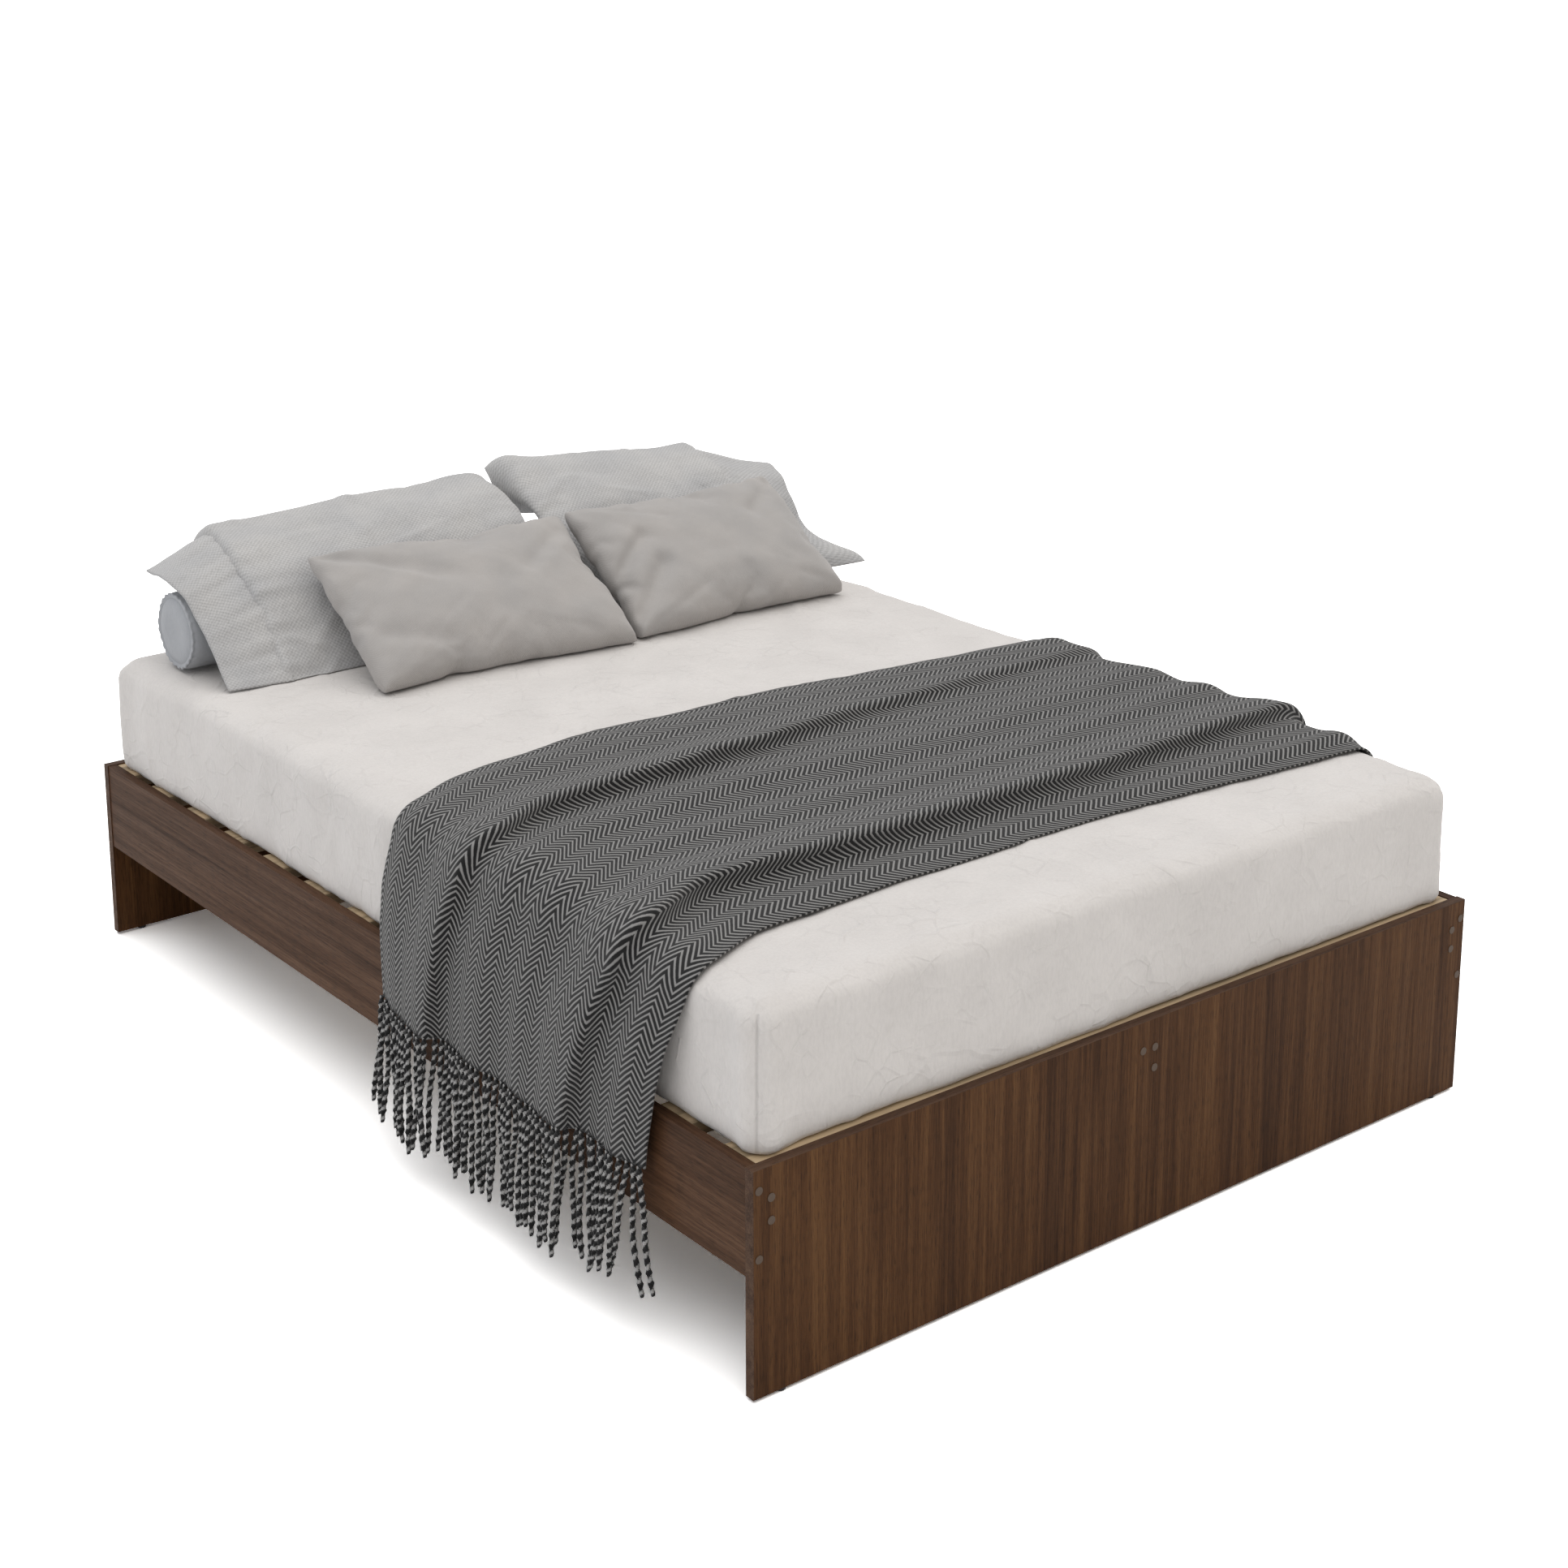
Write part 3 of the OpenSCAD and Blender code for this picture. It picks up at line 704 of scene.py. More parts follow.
LOFT = 0.006   # the cloth between its folds lies this far off the bed
BACK_EDGE = (-0.066, -0.062, 0.000, 0.045, 0.030, -0.035)
FRONT_EDGE = (-0.752, -0.822, -0.768, -0.755, -0.748, -0.790)


def eased(values, at):
    """Station values carried smoothly along the section."""
    near = np.linspace(-0.06, 0.06, 13)
    weight = bell(near, 0.035)
    total = sum(w * np.interp(at + d, STATIONS, values) for d, w in zip(near, weight))
    return total / weight.sum()


def throw_row(at, drift):
    """One row of the throw, from back to front: places along the bed and heights off the bed."""
    back, front = eased(BACK_EDGE, at) + drift[0], eased(FRONT_EDGE, at) + drift[1]
    y = np.linspace(back, front, 420)
    height = np.full_like(y, LOFT)
    pushed = np.zeros_like(y)
    for place, high, behind, ahead, lean in FOLDS:
        away = y - eased(place, at)
        reach = np.where(away > 0, behind, ahead)
        crest = eased(high, at) / 1000 * np.exp(-np.abs(away / reach) ** 1.8)
        height += crest
        pushed -= lean * crest * bell(away, ahead)
    # the cloth settles towards the bed at its two edges
    lifted = smoothstep(np.minimum(back - y, y - front), 0, 0.05)
    return y + pushed, 0.0012 + height * (0.25 + 0.75 * lifted)

# %% [markdown]
# The rows become a sheet: a grid mesh whose points are moved to their places. Wherever the cloth
# would dip into the mattress or the rail it is pushed out again, as the real cloth is.

# %% Throw
def keep_off(co, piece, gap, reach=0.05):
    """Moves points that are inside a piece, or nearer to it than the gap, out to the gap."""
    tree = BVHTree.FromObject(piece, bpy.context.evaluated_depsgraph_get())
    out = co.copy()
    for i, p in enumerate(co):
        spot, face = tree.find_nearest(Vector(p), reach)[:2]
        if spot is None:
            continue
        depth = (Vector(p) - spot).dot(face)
        if depth < gap:
            out[i] = np.array(p) + np.array(face) * (gap - depth)
    return out


def throw(rows=262, columns=150):
    """The cloth, its mean width laid flat, and its points. Rows run along the bed."""
    at = np.linspace(0, CLOTH_LENGTH, rows + 1)
    x = np.interp(at, section_at, section[:, 0])
    z = np.interp(at, section_at, section[:, 1])
    turn = np.arctan2(np.gradient(z, at), np.gradient(x, at))
    sheet = np.zeros((rows + 1, columns + 1, 3))
    widths = []
    for i, s in enumerate(at):
        wobble = noise.noise(Vector((s * 5, 0, 3))), noise.noise(Vector((s * 4, 7, 3)))
        y, height = throw_row(s, [0.006 * w for w in wobble])
        # small lumps, and then the points of the row are spaced evenly along its cloth
        height += [0.0022 * noise.noise(Vector((s * 11, v * 13, 1))) for v in y]
        run = run_length(np.c_[y, height])
        widths.append(run[-1])
        even = np.linspace(run[-1], 0, columns + 1)
        y, height = np.interp(even, run, y), np.interp(even, run, np.maximum(height, 0.001))
        sheet[i, :, 0] = x[i] - np.sin(turn[i]) * height
        sheet[i, :, 1] = y
        sheet[i, :, 2] = z[i] + np.cos(turn[i]) * height
    width = float(np.mean(widths))

    bm = bmesh.new()
    bmesh.ops.create_grid(bm, x_segments=rows, y_segments=columns, size=0.5)
    cloth = bm.loops.layers.uv.new("cloth")
    for v in bm.verts:
        i, j = round((v.co.x + 0.5) * rows), round((v.co.y + 0.5) * columns)
        for loop in v.link_loops:
            loop[cloth].uv = (i / rows * CLOTH_LENGTH, j / columns * width)
        v.co = sheet[i, j]
    piece = soft_piece("throw_cloth", bm, throw_wool, "throw", "throw_wool", "throw")
    co = keep_off(points(piece.data), fitted_sheet, 0.0015)
    out, least = np.abs(co[:, 0]), RAIL_FACE + RAIL_GAP
    inside = (out > BESIDE_RAIL) & (out < least) & (co[:, 2] < BELOW)
    co[:, 0] = np.where(inside, np.sign(co[:, 0]) * least, co[:, 0])
    set_points(piece.data, co)
    thick = piece.modifiers.new("cloth thickness", "SOLIDIFY")
    thick.thickness, thick.offset = 0.003, 1
    print("throw", len(piece.data.polygons), "faces,",
          "flat size", round(width, 3), "x", round(CLOTH_LENGTH, 3))
    return piece, width, co


throw_cloth, CLOTH_WIDTH, throw_points = throw()

# %% [markdown]
# ## Fringe
# The warp yarns run on past the hem and are twisted in bunches. One bunch is a flat oval,
# extruded downwards ring by ring with a little turn each time, which gives the two plies of a
# cord. Its copies hang from the hem, drift to one side or the other, and lean on each other.

# %% Fringe
CORD_PITCH = 0.0125   # from one bunch to the next


def extruded(bm, edges):
    """Extrudes a ring of edges, and gives back its new points and edges."""
    made = bmesh.ops.extrude_edge_only(bm, edges=edges)["geom"]
    ring = [g for g in made if isinstance(g, bmesh.types.BMVert)]
    edges = [g for g in made if isinstance(g, bmesh.types.BMEdge)]
    edges = [e for e in edges if all(v in ring for v in e.verts)]
    return ring, edges


def cord_mesh(length, rings=30, sides=8, pitch=0.030):
    """One twisted bunch that hangs straight down from the origin."""
    bm = bmesh.new()
    around = bm.verts.layers.int.new("around")
    down = bm.verts.layers.float.new("down")
    ring = bmesh.ops.create_circle(bm, cap_ends=True, segments=sides, radius=0.0047)["verts"]
    for k, v in enumerate(ring):
        v[around] = k
    bmesh.ops.scale(bm, verts=ring, vec=(1.12, 0.66, 1))
    edges = list(bm.edges)
    step = length / rings
    for i in range(rings):
        ring, edges = extruded(bm, edges)
        bmesh.ops.translate(bm, verts=ring, vec=(0, 0, -step))
        bmesh.ops.rotate(bm, verts=ring, cent=(0, 0, 0),
                         matrix=Matrix.Rotation(2 * math.pi * step / pitch, 3, "Z"))
        if i > rings - 3:   # the cord narrows at its tip
            bmesh.ops.scale(bm, verts=ring, vec=(0.82, 0.82, 1))
        for v in ring:
            v[down] = (i + 1) * step
    bmesh.ops.contextual_create(bm, geom=edges)
    yarn = bm.loops.layers.uv.new("yarn")
    for face in bm.faces:
        marks = [loop.vert[around] for loop in face.loops]
        wraps = 0 in marks and sides - 1 in marks   # the face that closes the ring
        for loop in face.loops:
            k = loop.vert[around]
            loop[yarn].uv = ((k + sides * (wraps and k == 0)) / sides, loop.vert[down])
    bmesh.ops.recalc_face_normals(bm, faces=bm.faces)
    mesh = bpy.data.meshes.new("cord")
    bm.to_mesh(mesh)
    bm.free()
    return mesh


def fringe(name, node, side, hem, seed):
    """Cords along a hem, given as its points from back to front. side: -1 left, 1 right."""
    length = hem[:, 2].mean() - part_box(node)[0].z - 0.006
    one = cord_mesh(length)
    count = round(np.abs(hem[-1, 1] - hem[0, 1]) / CORD_PITCH)
    bm = bmesh.new()
    for _ in range(count):
        bm.from_mesh(one)
    piece = soft_piece(name, bm, fringe_yarn, "throw", "fringe_yarn", node)
    co = points(piece.data).reshape(count, -1, 3)
    draw = np.random.default_rng(seed)
    # neighbours fall into bunches, and each bunch is pulled to one side or the other
    place = np.linspace(0.006, 0.994, count) * (len(hem) - 1)
    bunch = np.cumsum(draw.random(count) < 0.3)
    pull = draw.normal(0, 0.021, bunch[-1] + 1)
    for k in range(count):
        top = np.array([np.interp(place[k], np.arange(len(hem)), hem[:, a]) for a in range(3)])
        t = np.clip(-co[k, :, 2] / length, 0, 1)
        same = place[bunch == bunch[k]].mean() - place[k]
        drift = pull[bunch[k]] + same / len(hem) * 0.35 + draw.normal(0, 0.008)
        bow, phase = draw.normal(0, 0.004), draw.uniform(0, 6.3)
        stretch = 1 - draw.uniform(0, 0.12) if draw.random() < 0.8 else draw.uniform(0.8, 0.92)
        wide = 1 + 0.25 * np.clip(1 - t / 0.05, 0, 1)
        x, y, z = co[k].T
        away = 0.004 + 0.006 * t + draw.uniform(0, 0.006) * t
        co[k, :, 0] = top[0] + x * (2 - wide) + side * away
        co[k, :, 1] = top[1] + y * wide + drift * t ** 1.4 + bow * np.sin(np.pi * t)
        co[k, :, 1] += 0.0022 * np.sin(9 * t + phase)
        co[k, :, 0] += 0.0018 * np.cos(8 * t + phase)
        co[k, :, 2] = top[2] + 0.003 + z * stretch
    co[:, :, 0] = side * np.maximum(side * co[:, :, 0], RAIL_FACE + RAIL_GAP)
    set_points(piece.data, co)
    print(name, count, "cords", round(length, 3), "m long")
    return piece


def hem_line(side):
    """Points of the throw's hem on one side, from back to front."""
    mesh = throw_cloth.data
    along = np.array([loop.uv[0] for loop in mesh.uv_layers["cloth"].data])
    verts = np.array([loop.vertex_index for loop in mesh.loops])
    hem = 0 if side < 0 else CLOTH_LENGTH
    chosen = np.unique(verts[np.abs(along - hem) < 1e-5])
    line = throw_points[chosen]
    return line[np.argsort(-line[:, 1])] + [side * 0.0015, 0, 0]


fringe_left = fringe("throw_fringe_left_yarns", "throw_fringe_left", -1, hem_line(-1), 11)
fringe_right = fringe("throw_fringe_right_yarns", "throw_fringe_right", 1, hem_line(1), 12)

# %% [markdown]
# ## Bolster
# The bolster is a round roll with flat ends. It is turned from a list of rings, each made by
# extruding the one before. The end discs are sewn in with piping: a small ridge, and a second
# seam a little way in from it. The stitches pull the ridge into fine scallops.

# %% Bolster
DRAWN_RADIUS = 0.0695   # profiles below are drawn round a bolster of this radius
bolster_cotton = linen("bolster_cotton", srgb(164, 167, 172), srgb(158, 161, 166), 0.35, 1.4)


def turned(rings, sides):
    """A closed round body along X, from rings given as (x, radius)."""
    bm = bmesh.new()
    ring = bmesh.ops.create_circle(bm, cap_ends=True, segments=sides, radius=1)["verts"]
    bmesh.ops.rotate(bm, verts=ring, cent=(0, 0, 0), matrix=Matrix.Rotation(math.pi / 2, 3, "Y"))
    edges = list(bm.edges)
    here, wide = 0.0, 1.0
    for i, (x, radius) in enumerate(rings):
        if i:
            ring, edges = extruded(bm, edges)
        bmesh.ops.translate(bm, verts=ring, vec=(x - here, 0, 0))
        bmesh.ops.scale(bm, verts=ring, vec=(1, radius / wide, radius / wide))
        here, wide = x, radius
    bmesh.ops.contextual_create(bm, geom=edges)
    bmesh.ops.recalc_face_normals(bm, faces=bm.faces)
    return bm


def bolster():
    """The roll, turned from its rings, with scalloped piping and a soft surface."""
    low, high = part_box("bolster")
    radius, middle = (high.z - low.z) / 2, (low + high) / 2
    # from the middle of an end disc outwards: the inner seam, the piping and on to the roll
    end = [(0.0, 0.012), (-0.0022, 0.030), (-0.0016, 0.048), (0.0010, 0.0575), (0.0024, 0.0590),
           (0.0008, 0.0608), (0.0006, 0.0650), (-0.0006, 0.0672), (0.0004, 0.0690),
           (0.0022, 0.0688), (0.0040, 0.0672), (0.0070, 0.0678), (0.012, 0.0688), (0.020, 0.0692)]
    scale, inset = radius / DRAWN_RADIUS, 0.003
    left = [(low.x + inset + x, r * scale) for x, r in end]
    right = [(high.x - inset - x, r * scale) for x, r in reversed(end)]
    body = [(x, radius - 0.0002) for x in np.linspace(low.x + 0.04, high.x - 0.04, 90)]
    piece = soft_piece("bolster_roll", turned(left + body + right, 120), bolster_cotton,
                       "bolster", "bolster_cotton", "bolster")
    co = points(piece.data)
    angle = np.arctan2(co[:, 2], co[:, 1])
    reach = np.hypot(co[:, 1], co[:, 2])
    from_end = np.minimum(co[:, 0] - low.x, high.x - co[:, 0])
    piping = 2.0 * bell(reach / scale - 0.0685, 0.004) * bell(from_end, 0.007)
    grow = 0.0011 * piping * np.sin(26 * angle) - 0.0011 * piping
    grow += 0.0008 * lumps(co * [0.4, 1, 1], 26, 21) * smoothstep(reach, 0.03, 0.06)
    factor = 1 + np.minimum(grow, 0.0016) / np.maximum(reach, 0.01)
    co[:, 1:] *= factor[:, None]
    co[:, 0] += 0.0015 * lumps(co, 22, 22) * bell(from_end, 0.01)
    co += [0, middle.y, middle.z]
    co[:, 2] = np.clip(co[:, 2], low.z - 0.0004, high.z + 0.001)
    set_points(piece.data, co)
    print("bolster", len(piece.data.polygons), "faces")
    return piece


bolster_roll = bolster()
AXIS = sum(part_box("bolster"), Vector()) / 2

# %% [markdown]
# ## Basket weave
# The pillowcases are woven two threads over two, thick enough to see each crossing. Every
# crossing is a small square that shows either the warp or the weft. The product of two sines,
# one along the cloth and one across it, is high in the one kind of square and low in the other.

# %% Basket weave
THREAD = 0.0042   # side of one square


def basket(name, pale, dark):
    """Checks of warp and weft on the cloth's own map."""
    finish = Finish(name, rough=0.92, Sheen_Weight=0.2, Sheen_Roughness=0.6)
    place = finish.coords()
    wander = finish.math("MULTIPLY", finish.noise(place, 35, 2), 0.0030)
    warp, weft = [finish.wave(finish.math("ADD", part, wander), 2 * THREAD)
                  for part in finish.map_parts("cloth")]
    over = finish.halved(finish.math("MULTIPLY", warp, weft))
    slub = finish.noise(place, 260, 3, 0.7)
    colour = finish.uneven(place, 8, dark, pale)
    colour = finish.shaded(colour, over, (0.2, 0.84), (0.8, 1.05))
    colour = finish.shaded(colour, slub, (0.3, 0.86), (0.65, 1.04))
    finish.set(Base_Color=colour)
    body = finish.bump(finish.noise(place, 42, 4, 0.6), 0.5, 0.004)
    body = finish.bump(finish.math("ADD", over, slub), 0.5, 0.0009, body)
    finish.set(Normal=body)
    return finish


case_linen = basket("case_linen", srgb(190, 189, 188), srgb(178, 178, 179))

# %% [markdown]
# ## Pouches
# Pillows and cushions are both two equal sheets sewn together all round. A pouch is a grid and
# its copy, welded along the border. Each point keeps its place in the grid, as two shares from
# 0 to 1, and the side that it is on: 1 in front, -1 behind and 0 on the seam.

# %% Pouches
def pouch(columns, rows):
    """Two grids welded along their border, one unit wide, with z 1 in front and -1 behind."""
    bm = bmesh.new()
    bmesh.ops.create_grid(bm, x_segments=columns, y_segments=rows, size=0.5)
    copy = bmesh.ops.duplicate(bm, geom=bm.verts[:] + bm.edges[:] + bm.faces[:])["geom"]
    behind = [g for g in copy if isinstance(g, bmesh.types.BMVert)]
    bmesh.ops.reverse_faces(bm, faces=[g for g in copy if isinstance(g, bmesh.types.BMFace)])
    inner = [v for v in bm.verts if max(abs(v.co.x), abs(v.co.y)) < 0.4999]
    back = set(behind)
    bmesh.ops.translate(bm, verts=[v for v in inner if v in back], vec=(0, 0, -1))
    bmesh.ops.translate(bm, verts=[v for v in inner if v not in back], vec=(0, 0, 1))
    bmesh.ops.remove_doubles(bm, verts=bm.verts, dist=1e-5)
    return bm


def cloth_map(bm, size):
    """A UV map in metres for a grid or a pouch of the given flat size."""
    cloth = bm.loops.layers.uv.new("cloth")
    for face in bm.faces:
        for loop in face.loops:
            loop[cloth].uv = (loop.vert.co.x * size[0], loop.vert.co.y * size[1])


def soften(line, count):
    """A smooth line of evenly spaced points through a few given ones."""
    line = np.array(line, float)
    line = rubbed(spaced(line, np.linspace(0, run_length(line)[-1], 200)), 12)
    return spaced(line, np.linspace(0, run_length(line)[-1], count))

# %% [markdown]
# ## Back pillows
# Each back pillow lies over the bolster. Its outside is a line in the Y-Z plane, given from the
# axis of the bolster: up the sloping front, over the roll, and level towards the head. Its
# inside stands off the bolster. Halfway between them runs the seam line. The section swells
# quickly from the seam at each end, and the stitches pull short puckers out of the seam. Heights
# are stretched from the GROUND, the level of the bed on which the bolster lies.

# %% Back pillows
GROUND = -DRAWN_RADIUS
CASE_DEPTH = 0.45   # of the flat case, from its low seam to its high seam
OUTSIDE = ((-0.196, -0.0695), (-0.166, -0.034), (-0.126, 0.011), (-0.085, 0.060),
           (-0.051, 0.091), (-0.001, 0.118), (0.060, 0.138), (0.118, 0.147),
           (0.148, 0.124))
INSIDE = ((-0.196, -0.0695), (-0.130, -0.0680), (-0.074, -0.066), (-0.074, 0.000), (-0.067, 0.031),
          (-0.046, 0.058), (-0.016, 0.074), (0.020, 0.074), (0.060, 0.060), (0.098, 0.046),
          (0.132, 0.068), (0.150, 0.106))


def subdivide(piece):
    """Rounds off the small faces of a finished piece."""
    fine = piece.modifiers.new("fine", "SUBSURF")
    fine.levels = fine.render_levels = 1
    print(piece.name, len(piece.data.polygons), "faces before subdivision")


def back_pillow(name, side, left, right, rise, swell, taper, ear, seed):
    """A pillow from x = left to x = right. These come in pairs, for its left and right ends:
    rise, the scale of the height; swell, the reach of the rounding; taper, how far the end
    draws in near the bed. ear lifts the upper left corner."""
    node = "back_pillow_" + side
    wide = right - left
    rows, columns = 56, round(wide / 0.0095)
    outside, inside = soften(OUTSIDE, rows + 1), soften(INSIDE, rows + 1)
    middle = (outside + inside) / 2
    bm = pouch(columns, rows)
    cloth_map(bm, (wide, CASE_DEPTH))
    piece = soft_piece(name, bm, case_linen, node, "case_linen", node)
    grid = points(piece.data)
    u, v, face = grid[:, 0] + 0.5, grid[:, 1] + 0.5, grid[:, 2]
    row = np.round(v * rows).astype(int)
    near = np.minimum(u * wide / swell[0], (1 - u) * wide / swell[1])
    full = np.sqrt(1 - (1 - np.clip(near, 0, 1)) ** 2)
    line = np.where(face[:, None] > 0, outside[row], inside[row])
    line = middle[row] + (line - middle[row]) * full[:, None]
    height = rise[0] + (rise[1] - rise[0]) * smoothstep(u, 0.1, 0.95)
    low = 1 - smoothstep(v, 0.35, 0.72)
    x = left + u * wide + low * (taper[0] * (1 - u) ** 2 - taper[1] * u ** 2)
    y = AXIS.y + line[:, 0]
    z = AXIS.z + GROUND + (line[:, 1] - GROUND) * height
    z += ear * bell(u, 0.10) * smoothstep(v, 0.55, 0.95)
    co = np.c_[x, y, z]
    set_points(piece.data, co)
    normal = normals(piece.data)
    from_seam = np.minimum(u, 1 - u) * wide
    pucker = np.array([noise.noise(Vector((a * 46, seed, 0))) for a in v * CASE_DEPTH])
    lift = 0.0090 * pucker * np.exp(-from_seam / 0.045) * full
    lift += (0.0032 * lumps(co, 8, seed) + 0.0028 * lumps(co * [0.6, 1, 1], 19, seed + 1)) * full
    lift += pulled_creases(co, normal, 46, seed, (0.05, 0.16), (0.006, 0.012), 0.006) * full
    co = co + normal * (lift * (face > -0.5))[:, None]
    co[:, 0] = np.clip(co[:, 0], left, right)
    co = keep_off(co, bolster_roll, 0.0015)
    co = keep_off(co, fitted_sheet, 0.0010)
    set_points(piece.data, co)
    subdivide(piece)
    return piece


LEFT_LOW, LEFT_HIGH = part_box("back_pillow_left")
RIGHT_LOW, RIGHT_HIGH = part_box("back_pillow_right")
FLAP = 0.105   # how far a case runs on past its filling
pillow_left = back_pillow("pillow_left", "left", LEFT_LOW.x + FLAP, LEFT_HIGH.x - 0.001,
                          rise=(1.03, 1.10), swell=(0.020, 0.050), taper=(0.0, 0.022),
                          ear=0.0, seed=31)
pillow_right = back_pillow("pillow_right", "right", RIGHT_LOW.x + 0.001, RIGHT_HIGH.x - FLAP,
                           rise=(1.16, 1.05), swell=(0.050, 0.022), taper=(0.004, 0.0),
                           ear=0.020, seed=41)

# %% [markdown]
# The case of each pillow runs on past the filling as an open flap. It is a single sheet that
# starts just under the pillow's outside, sinks on to the bolster and ends in a hem. Its width is
# measured from a little way under the pillow, so that no gap shows between the two.

# %% Open flaps
FLAP_DEPTH = 0.42   # of the flat flap, from the bed up over the bolster
UNDER = tuple((y + 0.003, z - 0.005 * (z > -0.05)) for y, z in OUTSIDE)
FLAP_HEM = ((-0.178, -0.0685), (-0.130, -0.026), (-0.085, 0.020), (-0.060, 0.050),
            (-0.035, 0.074), (0.000, 0.090), (0.040, 0.096), (0.085, 0.092))


def flap(name, side, seam, hem, rise, puff, tail, seed):
    """An open flap from the pillow at x = seam to the hem at x = hem. rise scales its height at
    the pillow, puff blows out its hem, and tail moves the foot of the hem."""
    node = "back_pillow_" + side
    rows, columns, wide = 90, 26, abs(hem - seam)
    inner, outer = soften(UNDER, rows + 1), soften(FLAP_HEM, rows + 1)
    bm = bmesh.new()
    bmesh.ops.create_grid(bm, x_segments=columns, y_segments=rows, size=0.5)
    cloth_map(bm, (wide, FLAP_DEPTH))
    piece = soft_piece(name, bm, case_linen, node, "case_linen", node)
    grid = points(piece.data)
    u, v = grid[:, 0] + 0.5, grid[:, 1] + 0.5
    row = np.round(v * rows).astype(int)
    share = u[:, None] ** 0.9
    line = inner[row] * (1 - share) + outer[row] * share
    # the hem reaches further out at the top, and draws back where it hangs
    drawn_back = np.maximum(0.45 * wide * (0.10 * np.sin(v * 5 + seed) + 0.02), 0)
    x = seam + (hem - seam) * u * (1 + 0.12 * smoothstep(v, 0.5, 0.8))
    x += np.sign(seam - hem) * drawn_back * u * (1 - smoothstep(v, 0.45, 0.6))
    height = (line[:, 1] - GROUND) * (rise + (1 - rise) * u)
    co = np.c_[x, AXIS.y + line[:, 0], AXIS.z + GROUND + height]
    set_points(piece.data, co)
    normal = normals(piece.data)
    from_axis = (co - [0, AXIS.y + 0.02, AXIS.z - 0.03])[:, 1:]
    normal *= np.sign((normal[:, 1:] * from_axis).sum(1))[:, None]   # all away from the bolster
    folds = np.array([noise.noise(Vector((a * 17, seed, 9))) for a in v])
    wave = np.array([noise.noise(Vector((a * 7, seed, 4))) for a in v])
    lift = 0.010 * folds * np.exp(-u * 2.2) + 0.006 * wave * u + puff * np.sin(np.pi * v) * u
    lift += 0.0035 * lumps(co, 15, seed)
    lift *= smoothstep(v, 0.0, 0.08)
    co = co + normal * lift[:, None]
    co += (smoothstep(u, 0.3, 1.0) * bell(v, 0.16))[:, None] * np.array(tail)
    for other in (bolster_roll, fitted_sheet):
        co = keep_off(co, other, 0.002)
    set_points(piece.data, co)
    thick = piece.modifiers.new("thickness", "SOLIDIFY")
    thick.thickness, thick.offset = 0.0022, 0
    print(name, len(piece.data.polygons), "faces")
    return piece


flap_left = flap("flap_left", "left", LEFT_LOW.x + FLAP + 0.020, LEFT_LOW.x + 0.001,
                 rise=1.0, puff=0.0, tail=(0, 0, 0), seed=51)
flap_right = flap("flap_right", "right", RIGHT_HIGH.x - FLAP - 0.024, RIGHT_HIGH.x - 0.001,
                  rise=1.03, puff=0.022, tail=(0.038, -0.105, 0.030), seed=52)

# %% [markdown]
# ## Front cushions
# A front cushion is a flat pouch blown up with a little air pressure, as a real cover is by its
# filling. The cloth solver finds the puckers along the seams and the soft ears at the corners.
# The result is frozen into the mesh. A cover under pressure has hollow sides, but a used cushion
# has nearly straight ones, so the outline is taken half-way back to the flat one. Dents and
# creases follow, and the cushion is leaned in its place with its corners where they belong.
# The cover is a fine twill, with ribs that run at a slant to the threads.

# %% Cloth solver
def blow_up(piece, pressure, frames=26):
    """Runs the cloth solver with pressure inside, and keeps the last shape."""
    scene = bpy.context.scene
    cloth = piece.modifiers.new("cloth", "CLOTH")
    cloth.point_cache.frame_start, cloth.point_cache.frame_end = 1, frames
    cloth.settings.quality = 7
    cloth.settings.mass = 0.12
    cloth.settings.tension_stiffness = cloth.settings.compression_stiffness = 14
    cloth.settings.shear_stiffness = 6
    cloth.settings.bending_stiffness = 0.25
    cloth.settings.air_damping = 3
    cloth.settings.use_pressure = True
    cloth.settings.uniform_pressure_force = pressure
    cloth.settings.effector_weights.gravity = 0
    cloth.collision_settings.use_self_collision = False
    for step in range(1, frames + 1):
        scene.frame_set(step)
    done = piece.evaluated_get(bpy.context.evaluated_depsgraph_get())
    shape = points(done.data)
    piece.modifiers.remove(cloth)
    scene.frame_set(1)
    set_points(piece.data, shape)


def trench(u, v, start, end, width):
    """1 along a line between two places in the grid, falling to 0 beside it."""
    start, end = np.array(start), np.array(end)
    way = end - start
    share = np.clip(((u - start[0]) * way[0] + (v - start[1]) * way[1]) / way.dot(way), 0, 1)
    away = np.hypot(u - start[0] - share * way[0], (v - start[1] - share * way[1]) * 0.65)
    return bell(away, width)


TWILL = 0.0032   # from one rib to the next


def twill(name, pale, dark):
    """Fine diagonal ribs on the cloth's own map, over a soft uneven tone."""
    finish = Finish(name, rough=0.9, Sheen_Weight=0.25, Sheen_Roughness=0.5)
    place = finish.coords()
    slant = finish.math("ADD", *finish.map_parts("cloth"))
    slant = finish.math("MULTIPLY_ADD", finish.noise(place, 40, 2), 0.002, slant)
    rib = finish.halved(finish.wave(slant, TWILL))
    fuzz = finish.noise(place, 700, 3, 0.7)
    colour = finish.uneven(place, 10, dark, pale)
    colour = finish.shaded(colour, rib, (0.1, 0.90), (0.7, 1.03))
    colour = finish.shaded(colour, fuzz, (0.3, 0.94), (0.65, 1.03))
    finish.set(Base_Color=colour)
    body = finish.bump(finish.noise(place, 45, 4, 0.6), 0.3, 0.003)
    body = finish.bump(finish.math("ADD", rib, fuzz), 0.4, 0.0006, body)
    finish.set(Normal=body)
    return finish


cushion_twill = twill("cushion_twill", srgb(174, 170, 167), srgb(166, 163, 161))

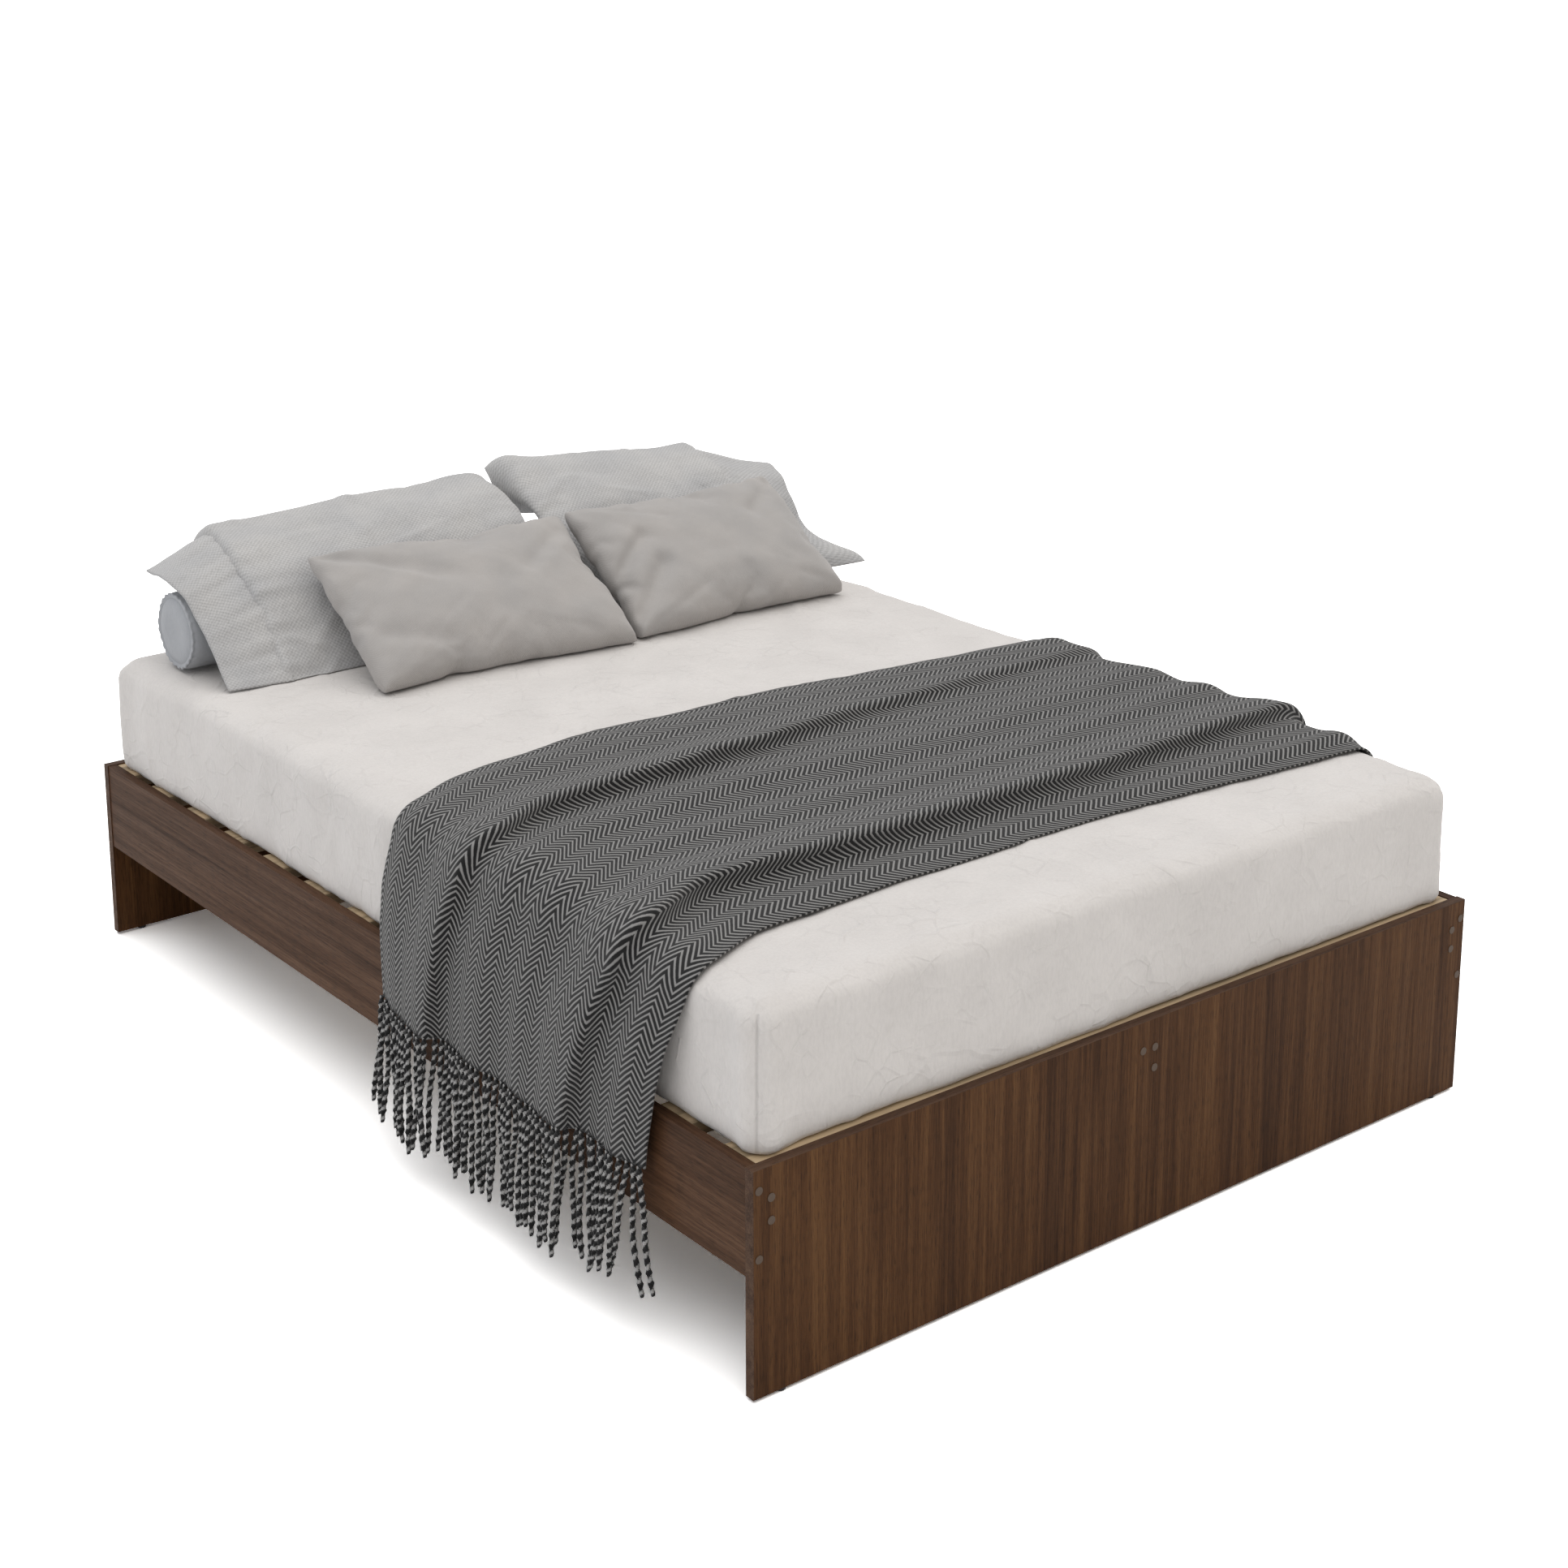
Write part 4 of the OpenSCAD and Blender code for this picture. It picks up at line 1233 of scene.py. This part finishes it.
# %% [markdown]
# The outline is straightened towards a flat cover drawn in a little by its filling. That outline
# bulges a little in the middle of each side, to make up for the hollow that is left.

# %% Front cushions
PUFFED = 0.93                     # width of a filled cover, as a share of the flat one
BARREL = np.array([0.09, 0.16])   # bulge of its sides, and of its top and bottom
HALF_THICK = 0.056
CORNERS = ((0, 0), (1, 0), (0, 1), (1, 1))


def front_cushion(name, side, corners, dents, limits, seed, flat=(0.545, 0.355)):
    """corners: where the bottom left, bottom right, top left and top right corners lie.
    dents: lines pressed into it, each with its start and end in the grid, width and depth.
    limits: the least and the greatest x that it may reach."""
    node = "front_cushion_" + side
    columns, rows = round(flat[0] / 0.0085), round(flat[1] / 0.0085)
    bm = pouch(columns, rows)
    cloth_map(bm, flat)
    piece = soft_piece(name, bm, cushion_twill, node, "cushion_twill", node)
    grid = points(piece.data)
    u, v, face = grid[:, 0] + 0.5, grid[:, 1] + 0.5, grid[:, 2]
    start = grid * [*flat, 0.004]
    start[:, 2] *= 1 + 0.5 * lumps(start, 9, seed)
    set_points(piece.data, start)
    blow_up(piece, 5.5)
    co = points(piece.data)
    barrel = 1 + BARREL * (1 - (2 * grid[:, 1::-1]) ** 2)
    co[:, :2] = 0.5 * co[:, :2] + 0.5 * grid[:, :2] * flat * PUFFED * barrel
    tips = [np.argmin(np.hypot(u - a, v - b)) for a, b in CORNERS]
    reach = np.abs(co[tips, :2]).mean(0)
    # a fuller section, thicker at the bottom, where the filling sinks
    thick = co[:, 2] / max(np.abs(co[:, 2]).max(), 1e-6)
    thick = HALF_THICK * np.sign(thick) * np.abs(thick) ** 0.52
    co[:, 2] = thick * (1 + 0.30 * (0.45 - v))
    for begin, end, width, depth in dents:
        pressed = trench(u, v, begin, end, width) * smoothstep(np.abs(thick), 0.0, 0.03)
        co[:, 2] -= np.where(face > 0, 1, 0.2) * depth * pressed
    co[:, 2] += face * 0.0022 * lumps(co, 22, seed) * smoothstep(np.abs(thick), 0.0, 0.02)
    # creases that run in from the corners, and puckers along the seams
    draw = np.random.default_rng(seed)
    for corner in np.array(CORNERS):
        for _ in range(4):
            way = draw.uniform(0.10, 0.42, 2) * (1 - 2 * corner)
            begin = corner + way * draw.uniform(0.05, 0.2)
            crease = trench(u, v, begin, corner + way, draw.uniform(0.009, 0.018))
            co[:, 2] -= face * draw.uniform(-0.002, 0.0040) * crease
    edge = np.minimum(np.minimum(u, 1 - u) * flat[0], np.minimum(v, 1 - v) * flat[1])
    pucker = np.array([noise.noise(Vector((p[0] * 34, p[1] * 34, seed))) for p in co])
    co[:, 2] += face * 0.0075 * pucker * np.exp(-edge / 0.030) * smoothstep(edge, 0.0, 0.012)
    co[:, :2] *= 1 + (0.012 * pucker * np.exp(-edge / 0.010))[:, None]
    # shares across and up, blended between the four corners, with the thickness square to them
    a = (co[:, 0] / reach[0] / 2 + 0.5)[:, None]
    b = (co[:, 1] / reach[1] / 2 + 0.5)[:, None]
    low_left, low_right, top_left, top_right = (np.array(c) for c in corners)
    across = (low_right - low_left) + (top_right - top_left)
    out = np.cross(across, (top_left - low_left) + (top_right - low_right))
    out /= np.linalg.norm(out)
    if out[1] > 0:
        out = -out
    bottom, top = low_left * (1 - a) + low_right * a, top_left * (1 - a) + top_right * a
    co = bottom * (1 - b) + top * b + out * co[:, 2:3]
    co[:, 0] = np.clip(co[:, 0], *limits)
    for other in (fitted_sheet, pillow_left, pillow_right):
        co = keep_off(co, other, 0.002)
    set_points(piece.data, co)
    subdivide(piece)
    return piece


BETWEEN = 0.086   # x where the two cushions meet
cushion_left = front_cushion(
    "cushion_left", "left",
    ((-0.438, 0.427, 0.548), (0.082, 0.402, 0.548), (-0.424, 0.708, 0.727), (0.092, 0.682, 0.727)),
    [((0.06, 0.94), (0.42, 0.60), 0.035, 0.009), ((0.50, 0.98), (0.62, 0.90), 0.06, 0.010),
     ((0.10, 0.30), (0.30, 0.20), 0.04, 0.008), ((0.90, 0.80), (0.70, 0.55), 0.03, 0.008)],
    (-0.5, BETWEEN - 0.0015), 61)
cushion_right = front_cushion(
    "cushion_right", "right",
    ((0.094, 0.411, 0.548), (0.585, 0.425, 0.548), (0.090, 0.660, 0.735), (0.579, 0.673, 0.735)),
    [((0.02, 0.10), (0.24, 0.42), 0.035, 0.014), ((0.02, 0.40), (0.22, 0.62), 0.03, 0.012),
     ((0.55, 0.98), (0.60, 0.86), 0.06, 0.014), ((0.95, 0.90), (0.75, 0.65), 0.03, 0.008)],
    (BETWEEN + 0.0015, 0.7), 71)
